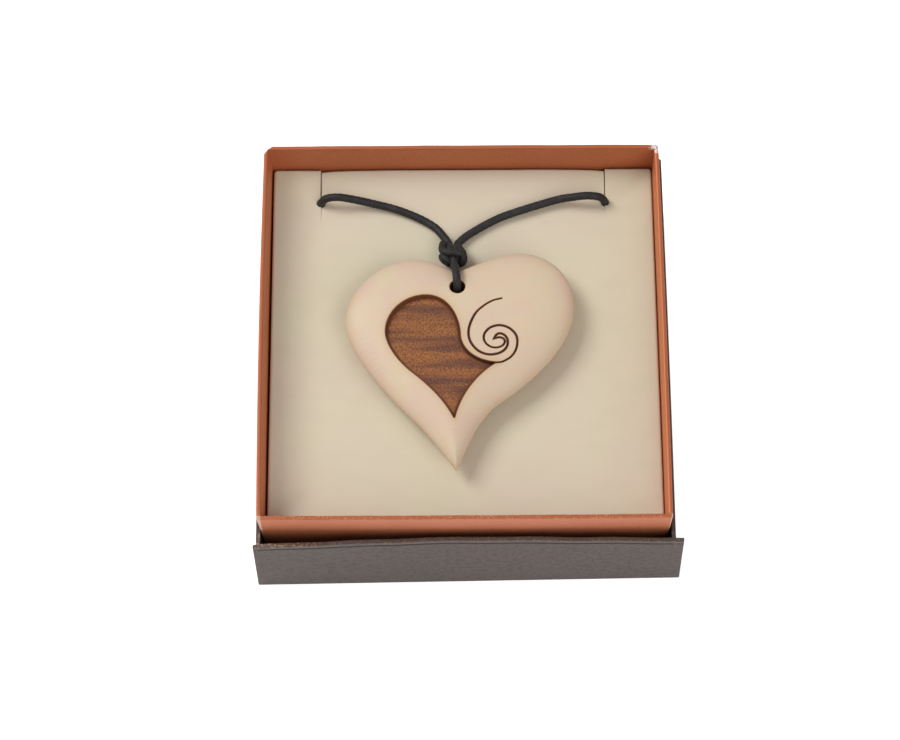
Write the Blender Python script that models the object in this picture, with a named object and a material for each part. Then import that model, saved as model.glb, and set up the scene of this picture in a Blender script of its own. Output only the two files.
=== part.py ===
"""Wooden heart pendant on a waxed cord, in its two-piece gift box.

Metres, +Z up, +Y towards the back. The origin is under the middle of the box, on the table.
The copper tray stands in its own upturned lid; a folded card platform, a foam and a velvet
cover fill the tray, and the pendant lies on the velvet with its cord tucked through two slits.
"""
import math

import bmesh
import bpy
from mathutils import Matrix, Vector
from mathutils.geometry import interpolate_bezier

MM = 0.001

# ---- Gaps and clearances -------------------------------------------------------------------
GLUE_GAP = 0.1 * MM            # between two glued layers
STAY_SPACE = 0.2 * MM          # between board and wrap, where the corner stays lie
REST_GAP = 0.25 * MM           # between a piece and what it stands on
PAD_PLAY = 0.3 * MM            # between the pad and the tray's inner walls
LID_SIDE_PLAY = 0.4 * MM       # between tray and lid at the sides and the back
LID_FRONT_PLAY = 1.85 * MM     # the lid's front wall stands further off
CORD_GAP = 0.15 * MM           # between the cord and what it lies on

# ---- Tray ----------------------------------------------------------------------------------
TRAY_WIDTH = 90.0 * MM
TRAY_HEIGHT = 34.35 * MM
TRAY_BOARD = 0.65 * MM
TRAY_FLOOR_BOARD = 0.9 * MM
TRAY_PAPER = 0.2 * MM
TRAY_TURN_IN = 22.0 * MM       # how far the copper paper reaches down inside
LINER = 0.15 * MM

# ---- Lid, upturned under the tray ----------------------------------------------------------
LID_HEIGHT = 27.6 * MM
LID_BOARD = 0.5 * MM
LID_FRONT_BOARD = 0.6 * MM
LID_FLOOR_BOARD = 0.9 * MM
LID_PAPER = 0.2 * MM
LID_EAR = 1.6 * MM             # the front wall's paper fin past each side wall
LID_EAR_THICKNESS = 0.8 * MM

# ---- Corner stays --------------------------------------------------------------------------
STAY_THICKNESS = 0.1 * MM
STAY_LEG = 8.0 * MM
STAY_MARGIN = 2.0 * MM         # left free at the top and the bottom of a corner

# ---- Pad -----------------------------------------------------------------------------------
PAD_BELOW_RIM = 10.0 * MM
VELVET = 0.6 * MM
FOAM = 8.0 * MM
PAD_CORNER = 1.6 * MM
PAD_EDGE = 1.0 * MM            # rounding of the velvet's upper edge
PLATFORM_CARD = 0.8 * MM
SLIT_WIDTH = 2.6 * MM
SLIT_LENGTH = 8.8 * MM
SLIT_SPACING = 66.0 * MM

# ---- Cord ----------------------------------------------------------------------------------
CORD_DIAMETER = 1.8 * MM
COIL_PITCH = 1.9 * MM
COIL_INNER_RADIUS = 9.4 * MM
COIL_TURNS = 8.5               # in all its layers together
COIL_HEADROOM = 1.0 * MM       # least space between the coil and the card platform
COIL_Y = 8.0 * MM
TIE_WIDTH = 3.0 * MM
TIE_THICKNESS = 0.25 * MM
KNOT_SIZE = (6.5 * MM, 6.0 * MM, 5.2 * MM)
KNOT_XY = (-2.4 * MM, 21.3 * MM)
HINGE_BEHIND_KNOT = 3.9 * MM   # the strands bend here when the pendant is lifted by its tip

# ---- Pendant -------------------------------------------------------------------------------
HEART_WIDTH = 51.8 * MM
HEART_THICKNESS = 8.0 * MM
FACE_REACH = 11.0 * MM         # how far in the rounding of the face runs
FACE_POWER = 2.1
BACK_REACH = 15.0 * MM
BACK_POWER = 1.6
HOLE_DIAMETER = 3.4 * MM
HOLE_XY = (-1.5, 11.0)         # in the outline's own units
RECESS_DEPTH = 1.2 * MM

# ---- Levels and half widths that follow ----------------------------------------------------
TRAY_HALF = TRAY_WIDTH / 2
TRAY_WALL = 2 * TRAY_PAPER + STAY_SPACE + TRAY_BOARD + GLUE_GAP
TRAY_INSIDE = TRAY_HALF - TRAY_WALL
PAD_HALF = TRAY_INSIDE - PAD_PLAY

LID_SIDE_WALL = LID_BOARD + STAY_SPACE + LID_PAPER
LID_FRONT_WALL = LID_FRONT_BOARD + STAY_SPACE + LID_PAPER
LID_INSIDE = TRAY_HALF + LID_SIDE_PLAY
LID_HALF = LID_INSIDE + LID_SIDE_WALL
FRONT_REACH = TRAY_HALF + LID_FRONT_PLAY + LID_FRONT_WALL
CENTRE_Y = (FRONT_REACH - LID_HALF) / 2    # puts the origin under the middle of the box

LID_BOARD_Z = LID_PAPER + GLUE_GAP
LID_LINER_Z = LID_BOARD_Z + LID_FLOOR_BOARD + GLUE_GAP
TRAY_Z = LID_LINER_Z + LINER + REST_GAP
TRAY_RIM_Z = TRAY_Z + TRAY_HEIGHT
TRAY_BOARD_Z = TRAY_Z + TRAY_PAPER + GLUE_GAP
TRAY_LINER_Z = TRAY_BOARD_Z + TRAY_FLOOR_BOARD + GLUE_GAP
TRAY_FLOOR_Z = TRAY_LINER_Z + LINER

PAD_TOP_Z = TRAY_RIM_Z - PAD_BELOW_RIM
FOAM_TOP_Z = PAD_TOP_Z - VELVET - GLUE_GAP
FOAM_Z = FOAM_TOP_Z - FOAM
PLATFORM_TOP_Z = FOAM_Z - GLUE_GAP
PLATFORM_UNDER_Z = PLATFORM_TOP_Z - PLATFORM_CARD
PLATFORM_FOOT_Z = TRAY_FLOOR_Z + REST_GAP

CORD_RADIUS = CORD_DIAMETER / 2
CORD_ON_PAD_Z = PAD_TOP_Z + CORD_GAP + CORD_RADIUS
TIE_Z = TRAY_FLOOR_Z + CORD_GAP
COIL_Z = TIE_Z + TIE_THICKNESS + CORD_GAP
COIL_ROOM = PLATFORM_UNDER_Z - COIL_HEADROOM - COIL_Z
COIL_ROWS = (COIL_ROOM - CORD_DIAMETER) / COIL_PITCH - 0.5
COIL_LAYERS = math.ceil(COIL_TURNS / COIL_ROWS)
COIL_OUTER_RADIUS = COIL_INNER_RADIUS + (COIL_LAYERS - 1) * COIL_PITCH
COIL_TOP_Z = COIL_Z + CORD_DIAMETER + (COIL_TURNS / COIL_LAYERS + 0.5) * COIL_PITCH

HEART_MIDDLE_Z = PAD_TOP_Z + REST_GAP + HEART_THICKNESS / 2
HEART_FACE_Z = HEART_MIDDLE_Z + HEART_THICKNESS / 2
KNOT_Z = PAD_TOP_Z + REST_GAP + KNOT_SIZE[2] / 2
SLIT_X = SLIT_SPACING / 2
SLIT_Y = PAD_HALF - SLIT_LENGTH + SLIT_WIDTH / 2

# ---- Outlines: (point, handle before, handle after), in millimetres at the drawn width ------
OUTLINE_WIDTH = 51.8 * MM
HEART_OUTLINE = [
    ((-1.8, 16.0), (-0.4, 16.1), (-3.2, 16.1)),
    ((-10.6, 19.1), (-6.4, 18.9), (-18.6, 19.5)),
    ((-26.9, 3.4), (-27.0, 11.6), (-26.8, -3.6)),
    ((-12.0, -19.8), (-17.2, -14.6), (-8.2, -23.6)),
    ((-2.0, -32.4), (-5.0, -28.2), (-0.6, -29.8)),
    ((7.8, -16.3), (2.2, -20.2), (13.4, -12.4)),
    ((24.9, 6.6), (24.3, -3.6), (25.4, 14.8)),
    ((11.4, 20.4), (19.6, 21.2), (6.4, 19.9)),
]
RECESS_OUTLINE = [
    ((-17.7, 0.1), (-17.8, -2.6), (-17.6, 4.6)),
    ((-8.8, 8.7), (-13.6, 8.6), (-3.6, 8.8)),
    ((-1.0, -1.0), (-1.1, 3.2), (-0.9, -4.6)),
    ((7.0, -7.8), (2.4, -7.6), (2.6, -10.4)),
    ((-2.4, -21.0), (-1.2, -15.6), (-4.8, -16.2)),
    ((-12.4, -9.4), (-8.4, -12.8), (-15.6, -6.4)),
]
OUTLINE_STEPS = 10
CENTRE_OF_RINGS = (-1.0, -2.0)
RING_SCALES = (0.985, 0.95, 0.89, 0.8, 0.66, 0.36)
HOLE_SIDES = 24
COIL_SIDES = 48

# ---- Cord routes: offsets in millimetres from the knot or from a slit ----------------------
LEFT_FROM_KNOT = [
    (-1.0, 3.5, 0.3), (-2.2, 5.4, 0.1), (-4.2, 7.8, 0.0), (-7.8, 10.1, 0.0), (-12.9, 12.3, 0.1)]
LEFT_FROM_SLIT = [
    (12.4, -0.9, 0.5), (7.6, -0.3, 1.7), (4.0, 0.0, 2.3), (1.2, 0.0, 1.5), (0.0, 0.0, -1.3)]
RIGHT_FROM_KNOT = [
    (1.1, 3.4, 0.3), (2.6, 5.0, 0.1), (5.2, 6.9, 0.0), (8.9, 9.1, 0.0), (13.1, 11.0, 0.1)]
RIGHT_FROM_SLIT = [
    (-12.0, -0.3, 0.5), (-7.2, 0.1, 1.6), (-3.9, 0.1, 2.2), (-1.2, 0.0, 1.5), (0.0, 0.0, -1.3)]
LOOP_SIDE = [  # (towards the back from the hole's axis, up from the heart's middle plane)
    (6.8, -0.35), (6.15, 0.9), (5.4, 2.3), (4.1, 3.65), (2.3, 4.25), (0.8, 4.0), (0.0, 3.0),
    (-0.15, 1.2), (-0.1, -0.6), (0.25, -1.9), (1.1, -2.85), (2.6, -3.2), (4.6, -3.2), (6.6, -3.05)]
LOOP_LEAN = -0.6 * MM          # how far the loop drifts sideways between hole and knot
STRAND_SPACING = 2.0 * CORD_DIAMETER
LOOP_SPACING = 0.6 * CORD_DIAMETER

# ---- Colours: (red, green, blue), roughness ------------------------------------------------
COPPER_PAPER = ((0.48, 0.135, 0.055), 0.5)
TAUPE_PAPER = ((0.125, 0.1, 0.098), 0.85)
GREY_BOARD = ((0.36, 0.33, 0.29), 0.9)
WHITE_PAPER = ((0.75, 0.73, 0.68), 0.85)
CREAM_VELVET = ((0.64, 0.59, 0.46), 1.0)
WHITE_FOAM = ((0.8, 0.79, 0.74), 0.95)
MAPLE = ((0.72, 0.56, 0.4), 0.55)
BLACK_CORD = ((0.02, 0.02, 0.024), 0.5)


def clear_scene():
    """Start from an empty scene."""
    for item in list(bpy.data.objects):
        bpy.data.objects.remove(item, do_unlink=True)


def finish_of(name, colour):
    """A plain Principled material for one piece."""
    material = bpy.data.materials.new(name)
    material.use_nodes = True
    shader = material.node_tree.nodes["Principled BSDF"]
    shader.inputs["Base Color"].default_value = (*colour[0], 1.0)
    shader.inputs["Roughness"].default_value = colour[1]
    shader.inputs["Metallic"].default_value = 0.0
    return material


def add_piece(name, data, colour, parent=None):
    """Put a mesh or a curve in the scene as a named piece, keeping its world place."""
    piece = bpy.data.objects.new(name, data)
    bpy.context.collection.objects.link(piece)
    data.materials.append(finish_of(name, colour))
    if parent is not None:
        piece.parent = parent
        piece.matrix_parent_inverse = Matrix.Translation(-parent.location)
    return piece


def mesh_of(name, form):
    """Turn a bmesh into mesh data with its faces pointing out."""
    bmesh.ops.recalc_face_normals(form, faces=form.faces)
    mesh = bpy.data.meshes.new(name)
    form.to_mesh(mesh)
    form.free()
    return mesh


def add_pivot(name, location):
    """An empty that carries a moving group, on its joint's axis."""
    pivot = bpy.data.objects.new(name, None)
    pivot.location = location
    bpy.context.collection.objects.link(pivot)
    return pivot


def hide_guide(guide):
    """A cutter only shapes other pieces."""
    guide.hide_render = True
    guide.display_type = "WIRE"


def cut(piece, cutter, operation="DIFFERENCE"):
    """Cut a piece with a guide, or join the guide to it."""
    step = piece.modifiers.new(cutter.name, "BOOLEAN")
    step.operation = operation
    step.solver = "EXACT"
    step.object = cutter
    hide_guide(cutter)


def rectangle(half_x, front, back, z, corner=0.0, steps=4):
    """The points of one level rectangle round the tray's middle, with round corners if asked."""
    sides = [(half_x, front, -90), (half_x, back, 0), (-half_x, back, 90), (-half_x, front, 180)]
    points = []
    for x, y, start in sides:
        if corner == 0.0:
            points.append(Vector((x, y, z)))
            continue
        middle = Vector((x - math.copysign(corner, x), y - math.copysign(corner, y), z))
        for step in range(steps + 1):
            angle = math.radians(start + 90 * step / steps)
            points.append(middle + corner * Vector((math.cos(angle), math.sin(angle), 0)))
    for point in points:
        point.y += CENTRE_Y
    return points


def loft(name, loops, closed=False):
    """Skin a row of loops; the ends are capped, or joined to each other when closed."""
    form = bmesh.new()
    rings = [[form.verts.new(point) for point in loop] for loop in loops]
    pairs = list(zip(rings, rings[1:]))
    if closed:
        pairs.append((rings[-1], rings[0]))
    else:
        form.faces.new(rings[0])
        form.faces.new(rings[-1])
    for low, high in pairs:
        for here in range(len(low)):
            after = (here + 1) % len(low)
            form.faces.new((low[here], low[after], high[after], high[here]))
    return mesh_of(name, form)


def prism(name, outline, low, high):
    """Extrude a flat outline of (x, y) points between two levels."""
    return loft(name, [[Vector((x, y, z)) for x, y in outline] for z in (low, high)])


def block(name, low, high):
    """A plain block between two corners."""
    outline = [(low[0], low[1]), (high[0], low[1]), (high[0], high[1]), (low[0], high[1])]
    return prism(name, outline, low[2], high[2])


def open_box(name, halves, inner, levels, colour, parent):
    """A board box without a top: halves and inner are (half x, front, back)."""
    bottom, floor, rim = levels
    loops = [rectangle(*halves, bottom), rectangle(*halves, rim)]
    loops += [rectangle(*inner, rim), rectangle(*inner, floor)]
    return add_piece(name, loft(name, loops), colour, parent)


def corner_stays(prefix, halves, low, high, parent):
    """Four paper angles glued round the corners of a board box, outside the board."""
    half_x, front, back = halves
    corners = [(-half_x, front), (half_x, front), (half_x, back), (-half_x, back)]
    for number, (x, y) in enumerate(corners, 1):
        in_x = -math.copysign(1, x)
        in_y = -math.copysign(1, y)
        y += CENTRE_Y
        outline = [
            (x, y),
            (x + in_x * STAY_LEG, y),
            (x + in_x * STAY_LEG, y + in_y * STAY_THICKNESS),
            (x + in_x * STAY_THICKNESS, y + in_y * STAY_THICKNESS),
            (x + in_x * STAY_THICKNESS, y + in_y * STAY_LEG),
            (x, y + in_y * STAY_LEG),
        ]
        name = f"{prefix}_corner_stay_{number}"
        add_piece(name, prism(name, outline, low, high), GREY_BOARD, parent)


def make_lid():
    """The taupe lid: board, paper wrap with its two front ears, floor liner and corner stays."""
    paper_half = LID_HALF - LID_PAPER
    paper_front = -(FRONT_REACH - LID_PAPER)
    board_half = paper_half - STAY_SPACE
    board = (board_half, paper_front + STAY_SPACE, board_half)
    inner = (LID_INSIDE, -(TRAY_HALF + LID_FRONT_PLAY), LID_INSIDE)
    board_rim = LID_HEIGHT - LID_PAPER - GLUE_GAP
    levels = (LID_BOARD_Z, LID_BOARD_Z + LID_FLOOR_BOARD, board_rim)
    open_box("lid_board", board, inner, levels, GREY_BOARD, None)

    outside = (LID_HALF, -FRONT_REACH, LID_HALF)
    under_rim = LID_HEIGHT - LID_PAPER
    loops = [
        rectangle(*outside, 0.0),
        rectangle(*outside, LID_HEIGHT),
        rectangle(*inner, LID_HEIGHT),
        rectangle(*inner, under_rim),
        rectangle(paper_half, paper_front, paper_half, under_rim),
        rectangle(paper_half, paper_front, paper_half, LID_PAPER),
    ]
    wrap = add_piece("lid_wrap", loft("lid_wrap", loops), TAUPE_PAPER)
    ear_front = CENTRE_Y - FRONT_REACH
    for side, name in ((-1, "left_ear"), (1, "right_ear")):
        edges = sorted((side * (LID_HALF - LID_PAPER / 2), side * (LID_HALF + LID_EAR)))
        low = (edges[0], ear_front, 0.0)
        high = (edges[1], ear_front + LID_EAR_THICKNESS, LID_HEIGHT)
        ear = add_piece(name, block(name, low, high), TAUPE_PAPER)
        cut(wrap, ear, "UNION")

    liner_play = GLUE_GAP
    liner = rectangle(inner[0] - liner_play, inner[1] + liner_play, inner[2] - liner_play, LID_LINER_Z)
    top = [point + Vector((0, 0, LINER)) for point in liner]
    add_piece("lid_liner", loft("lid_liner", [liner, top]), WHITE_PAPER)

    slack = (STAY_SPACE - STAY_THICKNESS) / 2
    grow = slack + STAY_THICKNESS
    stay = (board[0] + grow, board[1] - grow, board[2] + grow)
    corner_stays("lid", stay, LID_BOARD_Z + STAY_MARGIN, board_rim - STAY_MARGIN, None)


def make_tray(parent):
    """The copper tray: board, paper wrap turned in over the rim, floor liner and corner stays."""
    paper = TRAY_HALF - TRAY_PAPER
    board = paper - STAY_SPACE
    board_inside = board - TRAY_BOARD
    turned_in = board_inside - GLUE_GAP
    board_rim = TRAY_RIM_Z - TRAY_PAPER - GLUE_GAP
    levels = (TRAY_BOARD_Z, TRAY_BOARD_Z + TRAY_FLOOR_BOARD, board_rim)
    square = (board, -board, board)
    open_box("tray_board", square, (board_inside, -board_inside, board_inside), levels, GREY_BOARD, parent)

    under_rim = TRAY_RIM_Z - TRAY_PAPER
    turn_in_z = TRAY_RIM_Z - TRAY_TURN_IN
    steps = [
        (TRAY_HALF, TRAY_Z), (TRAY_HALF, TRAY_RIM_Z), (TRAY_INSIDE, TRAY_RIM_Z), (TRAY_INSIDE, turn_in_z),
        (turned_in, turn_in_z), (turned_in, under_rim), (paper, under_rim), (paper, TRAY_Z + TRAY_PAPER),
    ]
    loops = [rectangle(half, -half, half, z) for half, z in steps]
    add_piece("tray_wrap", loft("tray_wrap", loops), COPPER_PAPER, parent)

    half = board_inside - GLUE_GAP
    liner = [rectangle(half, -half, half, z) for z in (TRAY_LINER_Z, TRAY_FLOOR_Z)]
    add_piece("tray_liner", loft("tray_liner", liner), WHITE_PAPER, parent)

    stay = board + (STAY_SPACE + STAY_THICKNESS) / 2
    corner_stays("tray", (stay, -stay, stay), TRAY_BOARD_Z + STAY_MARGIN, board_rim - STAY_MARGIN, parent)


def slit_outline(side):
    """One slit: round at the cord, open at the pad's back edge."""
    half = SLIT_WIDTH / 2
    centre = Vector((side * SLIT_X, CENTRE_Y + SLIT_Y))
    arc = [centre + half * Vector((math.cos(angle), math.sin(angle)))
           for angle in [math.pi + math.pi * step / 8 for step in range(9)]]
    past_edge = CENTRE_Y + TRAY_HALF
    return [(p.x, p.y) for p in arc] + [(centre.x + half, past_edge), (centre.x - half, past_edge)]


def make_pad(parent):
    """The insert: folded card platform, foam and velvet, all slit twice from the back edge."""
    foot = PLATFORM_CARD
    half = PAD_HALF
    profile = [
        (-half, PLATFORM_FOOT_Z), (-half, PLATFORM_TOP_Z), (half, PLATFORM_TOP_Z), (half, PLATFORM_FOOT_Z),
        (half - foot, PLATFORM_FOOT_Z), (half - foot, PLATFORM_UNDER_Z),
        (-half + foot, PLATFORM_UNDER_Z), (-half + foot, PLATFORM_FOOT_Z),
    ]
    loops = [[Vector((x, CENTRE_Y + y, z)) for x, z in profile] for y in (-half, half)]
    platform = add_piece("pad_platform", loft("pad_platform", loops), WHITE_PAPER, parent)

    inside = PAD_HALF - VELVET
    foam_half = inside - GLUE_GAP
    foam_corner = PAD_CORNER - VELVET
    sides = [rectangle(foam_half, -foam_half, foam_half, z, foam_corner) for z in (FOAM_Z, FOAM_TOP_Z)]
    foam = add_piece("pad_foam", loft("pad_foam", sides), WHITE_FOAM, parent)

    loops = [rectangle(inside, -inside, inside, z, foam_corner) for z in (PAD_TOP_Z - VELVET, FOAM_Z)]
    loops.append(rectangle(PAD_HALF, -PAD_HALF, PAD_HALF, FOAM_Z, PAD_CORNER))
    for step in range(4):
        angle = math.radians(30 * step)
        half = PAD_HALF - PAD_EDGE * (1 - math.cos(angle))
        z = PAD_TOP_Z - PAD_EDGE * (1 - math.sin(angle))
        loops.append(rectangle(half, -half, half, z, PAD_CORNER - (PAD_HALF - half)))
    velvet = add_piece("pad_velvet", loft("pad_velvet", loops), CREAM_VELVET, parent)

    for side, name in ((-1, "left_slit"), (1, "right_slit")):
        above = PAD_TOP_Z + SLIT_WIDTH
        below = PLATFORM_UNDER_Z - SLIT_WIDTH
        guide = add_piece(name, prism(name, slit_outline(side), below, above), CREAM_VELVET)
        for layer in (platform, foam, velvet):
            cut(layer, guide)


def smooth_route(points, spacing):
    """Resample a smooth curve through the given points at an even spacing."""
    row = [2 * points[0] - points[1]] + points + [2 * points[-1] - points[-2]]
    fine = []
    for before, start, end, after in zip(row, row[1:], row[2:], row[3:]):
        handle_a = start + (end - before) / 6
        handle_b = end - (after - start) / 6
        fine += interpolate_bezier(start, handle_a, handle_b, end, 24)[:-1]
    fine.append(points[-1])
    length = sum((b - a).length for a, b in zip(fine, fine[1:]))
    count = max(2, round(length / spacing))
    route = [fine[0]]
    walked = 0.0
    for a, b in zip(fine, fine[1:]):
        step = (b - a).length
        while walked + step >= length * len(route) / count and len(route) < count:
            route.append(a.lerp(b, (length * len(route) / count - walked) / step))
        walked += step
    return route + [fine[-1]]


def add_cord(name, points, spacing, parent):
    """A round cord along a smooth route, capped at both ends."""
    curve = bpy.data.curves.new(name, "CURVE")
    curve.dimensions = "3D"
    curve.bevel_depth = CORD_RADIUS
    curve.bevel_resolution = 2
    curve.use_fill_caps = True
    route = smooth_route(points, spacing)
    spline = curve.splines.new("POLY")
    spline.points.add(len(route) - 1)
    for place, point in zip(spline.points, route):
        place.co = (*point, 1.0)
    return add_piece(name, curve, BLACK_CORD, parent)


def strand_points(side, from_knot, from_slit):
    """One strand: knot, over the pad, down its slit and under the platform to the coil."""
    knot = Vector((KNOT_XY[0], CENTRE_Y + KNOT_XY[1], CORD_ON_PAD_Z))
    slit = Vector((side * SLIT_X, CENTRE_Y + SLIT_Y, CORD_ON_PAD_Z))
    points = [knot + MM * Vector(offset) for offset in from_knot]
    points += [slit + MM * Vector(offset) for offset in from_slit]
    turn = 2 * CORD_DIAMETER
    under = PLATFORM_UNDER_Z - CORD_GAP - CORD_RADIUS
    coil = Vector((side * (COIL_OUTER_RADIUS + CORD_RADIUS), CENTRE_Y + COIL_Y, under))
    points.append(Vector((slit.x, slit.y, (PAD_TOP_Z + PLATFORM_UNDER_Z) / 2)))
    points.append(Vector((slit.x, slit.y, PLATFORM_UNDER_Z)))
    points.append(Vector((slit.x - side * turn * 0.35, slit.y - turn * 0.35, under - turn * 0.55)))
    points.append(Vector((slit.x - side * turn * 1.6, slit.y - turn * 1.3, under - turn * 0.8)))
    points.append(Vector((slit.x - side * turn * 3.6, slit.y - turn * 2.9, under - turn * 0.6)))
    points.append(coil + Vector((side * turn * 0.8, turn * 3.0, -turn * 0.4)))
    points.append(coil + Vector((side * turn * 0.35, turn * 1.7, -turn * 0.35)))
    return points


def make_cord(parent):
    """The two strands and the coil of spare cord, with the paper band that holds it."""
    add_cord("cord_left", strand_points(-1, LEFT_FROM_KNOT, LEFT_FROM_SLIT), STRAND_SPACING, parent)
    add_cord("cord_right", strand_points(1, RIGHT_FROM_KNOT, RIGHT_FROM_SLIT), STRAND_SPACING, parent)

    inner = COIL_INNER_RADIUS - CORD_RADIUS
    outer = COIL_OUTER_RADIUS + CORD_RADIUS
    soft = CORD_RADIUS / 2
    profile = [
        (inner + soft, COIL_TOP_Z), (outer - soft, COIL_TOP_Z),
        (outer, COIL_TOP_Z - soft), (outer, COIL_Z + soft),
        (outer - soft, COIL_Z), (inner + soft, COIL_Z),
        (inner, COIL_Z + soft), (inner, COIL_TOP_Z - soft),
    ]
    loops = []
    for step in range(COIL_SIDES):
        turn = 2 * math.pi * step / COIL_SIDES
        aside, back = math.cos(turn), math.sin(turn)
        loops.append([Vector((r * aside, CENTRE_Y + COIL_Y + r * back, z)) for r, z in profile])
    coil = add_piece("cord_coil", loft("cord_coil", loops, closed=True), BLACK_CORD, parent)
    coil.data.shade_smooth()

    bow = inner - math.sqrt(inner ** 2 - (TIE_WIDTH / 2) ** 2)
    near = inner - bow - CORD_GAP
    far = outer + CORD_GAP
    low = COIL_Z - CORD_GAP
    high = COIL_TOP_Z + CORD_GAP
    loops = []
    for grow, x in ((0, -1), (TIE_THICKNESS, -1), (TIE_THICKNESS, 1), (0, 1)):
        radii = (near - grow, far + grow)
        floor, top = low - grow, high + grow
        corners = [(radii[0], floor), (radii[1], floor), (radii[1], top), (radii[0], top)]
        loops.append([Vector((x * TIE_WIDTH / 2, CENTRE_Y + COIL_Y - r, z)) for r, z in corners])
    add_piece("coil_tie", loft("coil_tie", loops, closed=True), WHITE_PAPER, parent)


def traced(outline):
    """The (x, y) points of a closed outline of curves, in metres from the tray's middle."""
    scale = HEART_WIDTH / OUTLINE_WIDTH
    points = []
    for here, after in zip(outline, outline[1:] + outline[:1]):
        corners = [Vector((*pair, 0)) for pair in (here[0], here[2], after[1], after[0])]
        points += interpolate_bezier(*corners, OUTLINE_STEPS + 1)[:-1]
    return [Vector((point.x * scale * MM, point.y * scale * MM)) for point in points]


def distance_to(point, outline):
    """How far a point lies inside a closed outline."""
    nearest = math.inf
    for start, end in zip(outline, outline[1:] + outline[:1]):
        along = end - start
        share = max(0.0, min(1.0, (point - start).dot(along) / along.length_squared))
        nearest = min(nearest, (point - start - share * along).length)
    return nearest


def rounding(distance, reach, power):
    """Share of the half thickness at a distance from the edge: steep there, level past reach."""
    left = max(0.0, 1 - distance / reach)
    return (1 - left ** power) ** (1 / power)


def make_heart(parent):
    """The wooden heart: pillowed on both faces, with a cord hole and a shallow burnt recess."""
    outline = traced(HEART_OUTLINE)
    scale = HEART_WIDTH / OUTLINE_WIDTH
    middle = Vector(CENTRE_OF_RINGS) * scale * MM
    half = HEART_THICKNESS / 2
    form = bmesh.new()
    rim = [form.verts.new((p.x, p.y + CENTRE_Y, HEART_MIDDLE_Z)) for p in outline]
    for side, reach, power in ((1, FACE_REACH, FACE_POWER), (-1, BACK_REACH, BACK_POWER)):
        last = rim
        for share in RING_SCALES:
            ring = []
            for point in outline:
                place = middle + (point - middle) * share
                height = half * rounding(distance_to(place, outline), reach, power)
                ring.append(form.verts.new((place.x, place.y + CENTRE_Y, HEART_MIDDLE_Z + side * height)))
            for here in range(len(ring)):
                after = (here + 1) % len(ring)
                form.faces.new((last[here], last[after], ring[after], ring[here]))
            last = ring
        form.faces.new(last)
    heart = add_piece("pendant_heart", mesh_of("pendant_heart", form), MAPLE, parent)
    heart.data.shade_smooth()

    face = HEART_FACE_Z - RECESS_DEPTH
    recess = [(p.x, p.y + CENTRE_Y) for p in traced(RECESS_OUTLINE)]
    guide = add_piece("recess_guide", prism("recess_guide", recess, face, HEART_FACE_Z + RECESS_DEPTH), MAPLE)
    cut(heart, guide)

    centre = Vector(HOLE_XY) * scale * MM
    turns = [2 * math.pi * step / HOLE_SIDES for step in range(HOLE_SIDES)]
    radius = HOLE_DIAMETER / 2
    middle_y = centre.y + CENTRE_Y
    ring = [(centre.x + radius * math.cos(t), middle_y + radius * math.sin(t)) for t in turns]
    guide = add_piece("hole_guide", prism("hole_guide", ring, PAD_TOP_Z, HEART_FACE_Z + HOLE_DIAMETER), MAPLE)
    cut(heart, guide)


def make_knot(parent):
    """The overhand knot above the heart, and the loop from it through the heart's hole."""
    form = bmesh.new()
    bmesh.ops.create_uvsphere(form, u_segments=20, v_segments=12, radius=0.5)
    bmesh.ops.scale(form, vec=KNOT_SIZE, verts=form.verts)
    bmesh.ops.translate(form, vec=(KNOT_XY[0], CENTRE_Y + KNOT_XY[1], KNOT_Z), verts=form.verts)
    knot = add_piece("cord_knot", mesh_of("cord_knot", form), BLACK_CORD, parent)
    knot.data.shade_smooth()

    scale = HEART_WIDTH / OUTLINE_WIDTH
    hole = Vector((HOLE_XY[0] * scale * MM, HOLE_XY[1] * scale * MM + CENTRE_Y, HEART_MIDDLE_Z))
    reach = LOOP_SIDE[0][0]
    points = []
    for back, up in LOOP_SIDE:
        drift = LOOP_LEAN * max(0.0, back) / reach
        points.append(hole + Vector((drift, back * MM, up * MM)))
    add_cord("cord_loop", points, LOOP_SPACING, parent)


def main():
    clear_scene()
    make_lid()
    tray = add_pivot("tray_pivot", (0, CENTRE_Y, TRAY_Z))
    make_tray(tray)
    insert = add_pivot("insert_pivot", (0, CENTRE_Y, PLATFORM_FOOT_Z))
    make_pad(insert)
    make_cord(insert)
    hinge = (KNOT_XY[0], CENTRE_Y + KNOT_XY[1] + HINGE_BEHIND_KNOT, CORD_ON_PAD_Z)
    pendant = add_pivot("pendant_pivot", hinge)
    make_heart(pendant)
    make_knot(pendant)


main()
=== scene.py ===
# %% [markdown]
# # A wooden heart on a cord, in its gift box
#
# The lesson builds the finished look of a small boxed necklace: a copper paper tray standing in
# its own upturned lid, a velvet pad with two slits, and a carved maple heart that hangs on a
# waxed black cord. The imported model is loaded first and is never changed. Every finished piece
# is made in the same frame, in metres, and rides on one of the model's bodies.

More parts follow.
